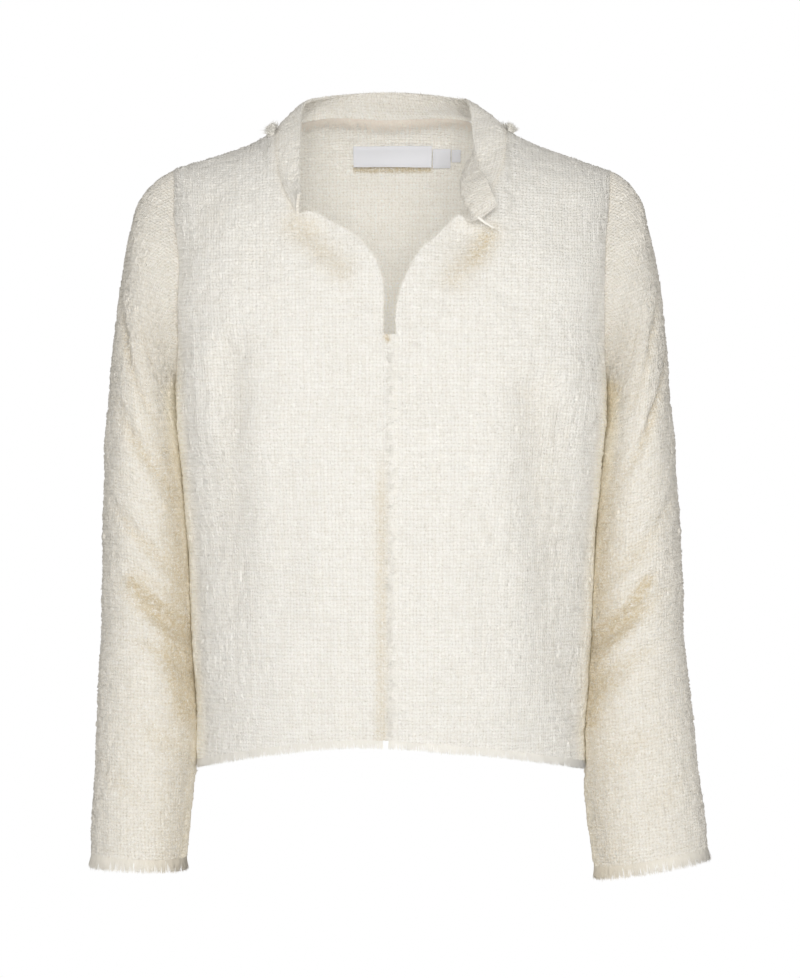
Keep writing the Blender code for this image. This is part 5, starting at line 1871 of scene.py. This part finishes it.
# %% [markdown]
# ## Loops and loose fibres
#
# Boucle yarn is covered in small loops that stand a millimetre or two off the cloth, and give it
# its rough outline. Short curved threads over the whole outer face do this. A finer relief would
# cost far more, and would still look smooth at the edges.

# %% Loops over the cloth
LOOPS = {"tweed_front_right": 1800, "tweed_front_left": 1800, "tweed_back": 3600}
LOOPS |= {"tweed_sleeve_right": 4600, "tweed_sleeve_left": 4600}
FUZZ = {}


def loops_on(name, count, seed):
    """Short threads that rise from the cloth and bend back to it."""
    draw = np.random.default_rng(seed)
    outer, normals, shade = LOOSE_PLACES[name]
    chance = 1.05 - shade
    picked = draw.choice(len(outer), count, replace=False, p=chance / chance.sum())
    roots, outs = outer[picked] - normals[picked] * 0.15, normals[picked]
    sideways = unit(np.cross(outs, draw.normal(0, 1, (count, 3))))
    ways = unit(sideways + outs * draw.uniform(0.25, 0.9, count)[:, None])
    bends = sideways * draw.uniform(-0.2, 0.5, count)[:, None]
    bends = bends - outs * draw.uniform(0.1, 0.6, count)[:, None]
    lengths = draw.uniform(1.1, 2.4, count)
    radii = draw.uniform(0.15, 0.34, count)
    return thread_mesh(roots, ways, bends, lengths, radii, 2, outs)


for number, (name, count) in enumerate(LOOPS.items()):
    FUZZ[name] = yarn_piece("loops_on_" + name, [loops_on(name, count, 60 + number)], YARN)
print("loops' faces:", sum(len(piece.data.polygons) for piece in FUZZ.values()))

# %% Frayed neckline, seam ends and a loose end of yarn
STRAGGLY = dict(radius=0.3, wild=0.5)

for side in (RIGHT, LEFT):
    line = line_of(FRONT, OPEN_EDGE[side], side, 160, False)
    points, normals, _ = cloth_points(FRONT, line)
    within = unit(np.cross(normals, np.gradient(points, axis=0)))
    within *= np.sign(-side * within[:, :1].mean())
    path = points - normals * 0.7 - within * 0.8
    straggly = dict(STRAGGLY, evenness=0.3, deep=0.6)
    threads = frayed(path, within, normals, 3.4, 2.4, 80 + side, **straggly)
    name = "neckline_threads_" + SIDE_NAME[side]
    FUZZ[name] = yarn_piece(name, [threads], YARN)

SEAM_ENDS = dict(side=(LEFT, RIGHT), x=(99.5, -106.0), top=(-16.0, -14.0), bottom=(-108.0, -38.0))
for row in rows(SEAM_ENDS):
    z = np.linspace(row["top"], row["bottom"], 80)
    points, normals, _ = cloth_points(FRONT, on_torso(FRONT, np.full(len(z), row["x"]), z))
    down = unit(np.gradient(points, axis=0))
    straggly = dict(STRAGGLY, evenness=0.4, deep=0.3)
    threads = frayed(points + normals * 0.2, down, normals, 5.0, 3.2, 95, **straggly)
    name = "seam_end_threads_" + SIDE_NAME[row["side"]]
    FUZZ[name] = yarn_piece(name, [threads], YARN)

edge, edge_out = COLLAR_GRID[-1], COLLAR_OUT[-1]
rising = unit(COLLAR_GRID[-1] - COLLAR_GRID[-3])
straggly = dict(radius=0.28, wild=0.5, evenness=0.3, deep=0.6, lean_out=0.0)
threads = frayed(edge - rising * 0.8 - edge_out, rising, edge_out, 2.4, 2.0, 90, **straggly)
LOOSE_END = dict(
    roots=[(72.5, -113.5, -84.5)],
    ways=unit(np.array([(15.5, 7.5, -13.0)])),
    bends=[(0.10, 0.0, 0.10)],
    lengths=[19.0],
    radii=[1.5],
    outs=[(0.0, -1.0, 0.0)],
)
loose_end = {key: np.array(value) for key, value in LOOSE_END.items()}
end = thread_mesh(**loose_end, segments=6, lean_out=0.5)
FUZZ["collar"] = yarn_piece("collar_threads", [threads, end], YARN)
print("frayed edges and loops:", len(FUZZ), "pieces")

# %% [markdown]
# ## Labels
#
# Three small woven labels are sewn inside the back neck: a wide one, and two little tabs beside
# it. They are left bare. Each is a thin slip of satin, with its ends turned under. It follows the
# back's own curve, which a flat plane would cut through.

# %% Label finish and pieces
LABELS = dict(
    name=("neck_label", "size_tab", "care_tab"),
    left=(-34.5, 37.2, 54.2),
    right=(36.0, 53.0, 62.0),
    top=(-5.5, -8.0, -9.0),
    bottom=(-23.0, -24.5, -19.5),
)
LABEL_WALL = 0.7
LABEL_LIFT = 1.9
LABEL_HANG = 2.2
LABEL_PUFF = 0.5
LABEL_DARK = (0.74, 0.755, 0.82, 1.0)
LABEL_LIGHT = (0.83, 0.845, 0.91, 1.0)


def label_material(name):
    """Ribbed satin, a little darker between its ribs."""
    made, tree, shader = new_material(name)
    set_plain(shader, Roughness=0.42)
    ribs = tree.nodes.new("ShaderNodeTexWave")
    ribs.bands_direction = "Y"
    ribs.inputs["Scale"].default_value = 420.0
    ribs.inputs["Distortion"].default_value = 0.6
    tree.links.new(yarn_map(tree), ribs.inputs["Vector"])
    tone = blend(tree, ribs.outputs["Fac"], LABEL_DARK, LABEL_LIGHT)
    tree.links.new(tone, shader.inputs["Base Color"])
    raised(tree, shader, ribs.outputs["Fac"], 0.35, 0.0002)
    return made


# %% Make the labels
SATIN = label_material("label_satin")
LABEL_PIECES = {}
for row in rows(LABELS):
    wide, high = row["right"] - row["left"], row["top"] - row["bottom"]
    across, down = int(wide) + 1, int(high) + 1
    columns = np.linspace(row["left"], row["right"], across)
    x, z = np.meshgrid(columns, np.linspace(row["top"], row["bottom"], down))
    places = on_torso(BACK, x.ravel(), z.ravel())
    points, normals, _ = cloth_points(BACK, places)
    share_x, share_z = (x - row["left"]) / wide, (row["top"] - z) / high
    border = np.minimum(share_x, 1 - share_x) * wide
    border = np.minimum(border, np.minimum(share_z, 1 - share_z) * high)
    hang = LABEL_HANG * share_z.ravel() ** 2 if row["name"] == "neck_label" else 0.0
    puff = LABEL_PUFF * np.clip(border / 3, 0, 1).ravel()
    points = points - normals * (WALL + LABEL_LIFT + puff + hang)[:, None]
    flat = np.zeros(x.shape)
    LABEL_PIECES[row["name"]] = closed_sheet(
        "bare_" + row["name"],
        points.reshape(down, across, 3),
        -normals.reshape(down, across, 3),
        flat,
        flat,
        np.stack([x, z], axis=-1),
        SATIN,
        LABEL_WALL,
    )
print("labels:", list(LABEL_PIECES))

# %% [markdown]
# ## Joining the looks to the imported model
#
# Every piece rides on the one body and stands in place of its imported solid, which is hidden.

# %% Rides and replacements
STANDS_FOR = {
    **PANELS,
    "sleeve_right": SLEEVES[RIGHT][0],
    "sleeve_left": SLEEVES[LEFT][0],
    "collar": COLLAR_PIECE,
    **FRINGES,
    **LABEL_PIECES,
}
for piece in FUZZ.values():
    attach(piece, "root")
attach(STRIP, "root")
for node, piece in STANDS_FOR.items():
    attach(piece, "root")
    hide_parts(node)

# %% Cut sizes of the cloth


def cut_size(spots):
    """Width and length in metres of what u and h span."""
    return tuple(round(float(value) * METRES, 3) for value in np.ptp(spots, axis=0))


CUTS = {node: cut_size(rim) for node, rim in PANEL_RIMS.items()}
for side, (_, _, _, width) in SLEEVES.items():
    CUTS["sleeve_" + SIDE_NAME[side]] = (round(width * METRES, 3), SLEEVE_LENGTH * METRES)
collar_size = (COLLAR_LENGTH[-1], COLLAR_HEIGHT[-1].max())
CUTS["collar"] = tuple(round(float(size) * METRES, 3) for size in collar_size)
for node, cut in CUTS.items():
    piece = STANDS_FOR[node]
# The least width stated is a centimetre, with the ends that are turned under.
LEAST_CUT = 0.0101
for row in rows(LABELS):
    size = (row["right"] - row["left"], row["top"] - row["bottom"])
    cut = tuple(max(side * METRES, LEAST_CUT) for side in size)
print("sheets:", len(CUTS) + len(LABEL_PIECES))

# %% [markdown]
# ## Floor and finish
#
# The jacket hangs well above a plain pale floor, which catches its light and stays out of the
# picture.

# %% Floor
FLOOR_SIZE = 7.0
FLOOR_Z = -1.45
bpy.ops.mesh.primitive_plane_add(size=FLOOR_SIZE, location=(0, 0, FLOOR_Z))
floor = bpy.context.object
floor.name = "studio_floor"
paper, _, shader = new_material("white_paper")
set_plain(shader, Base_Color=(0.93, 0.93, 0.93, 1.0), Roughness=0.9)
floor.data.materials.append(paper)
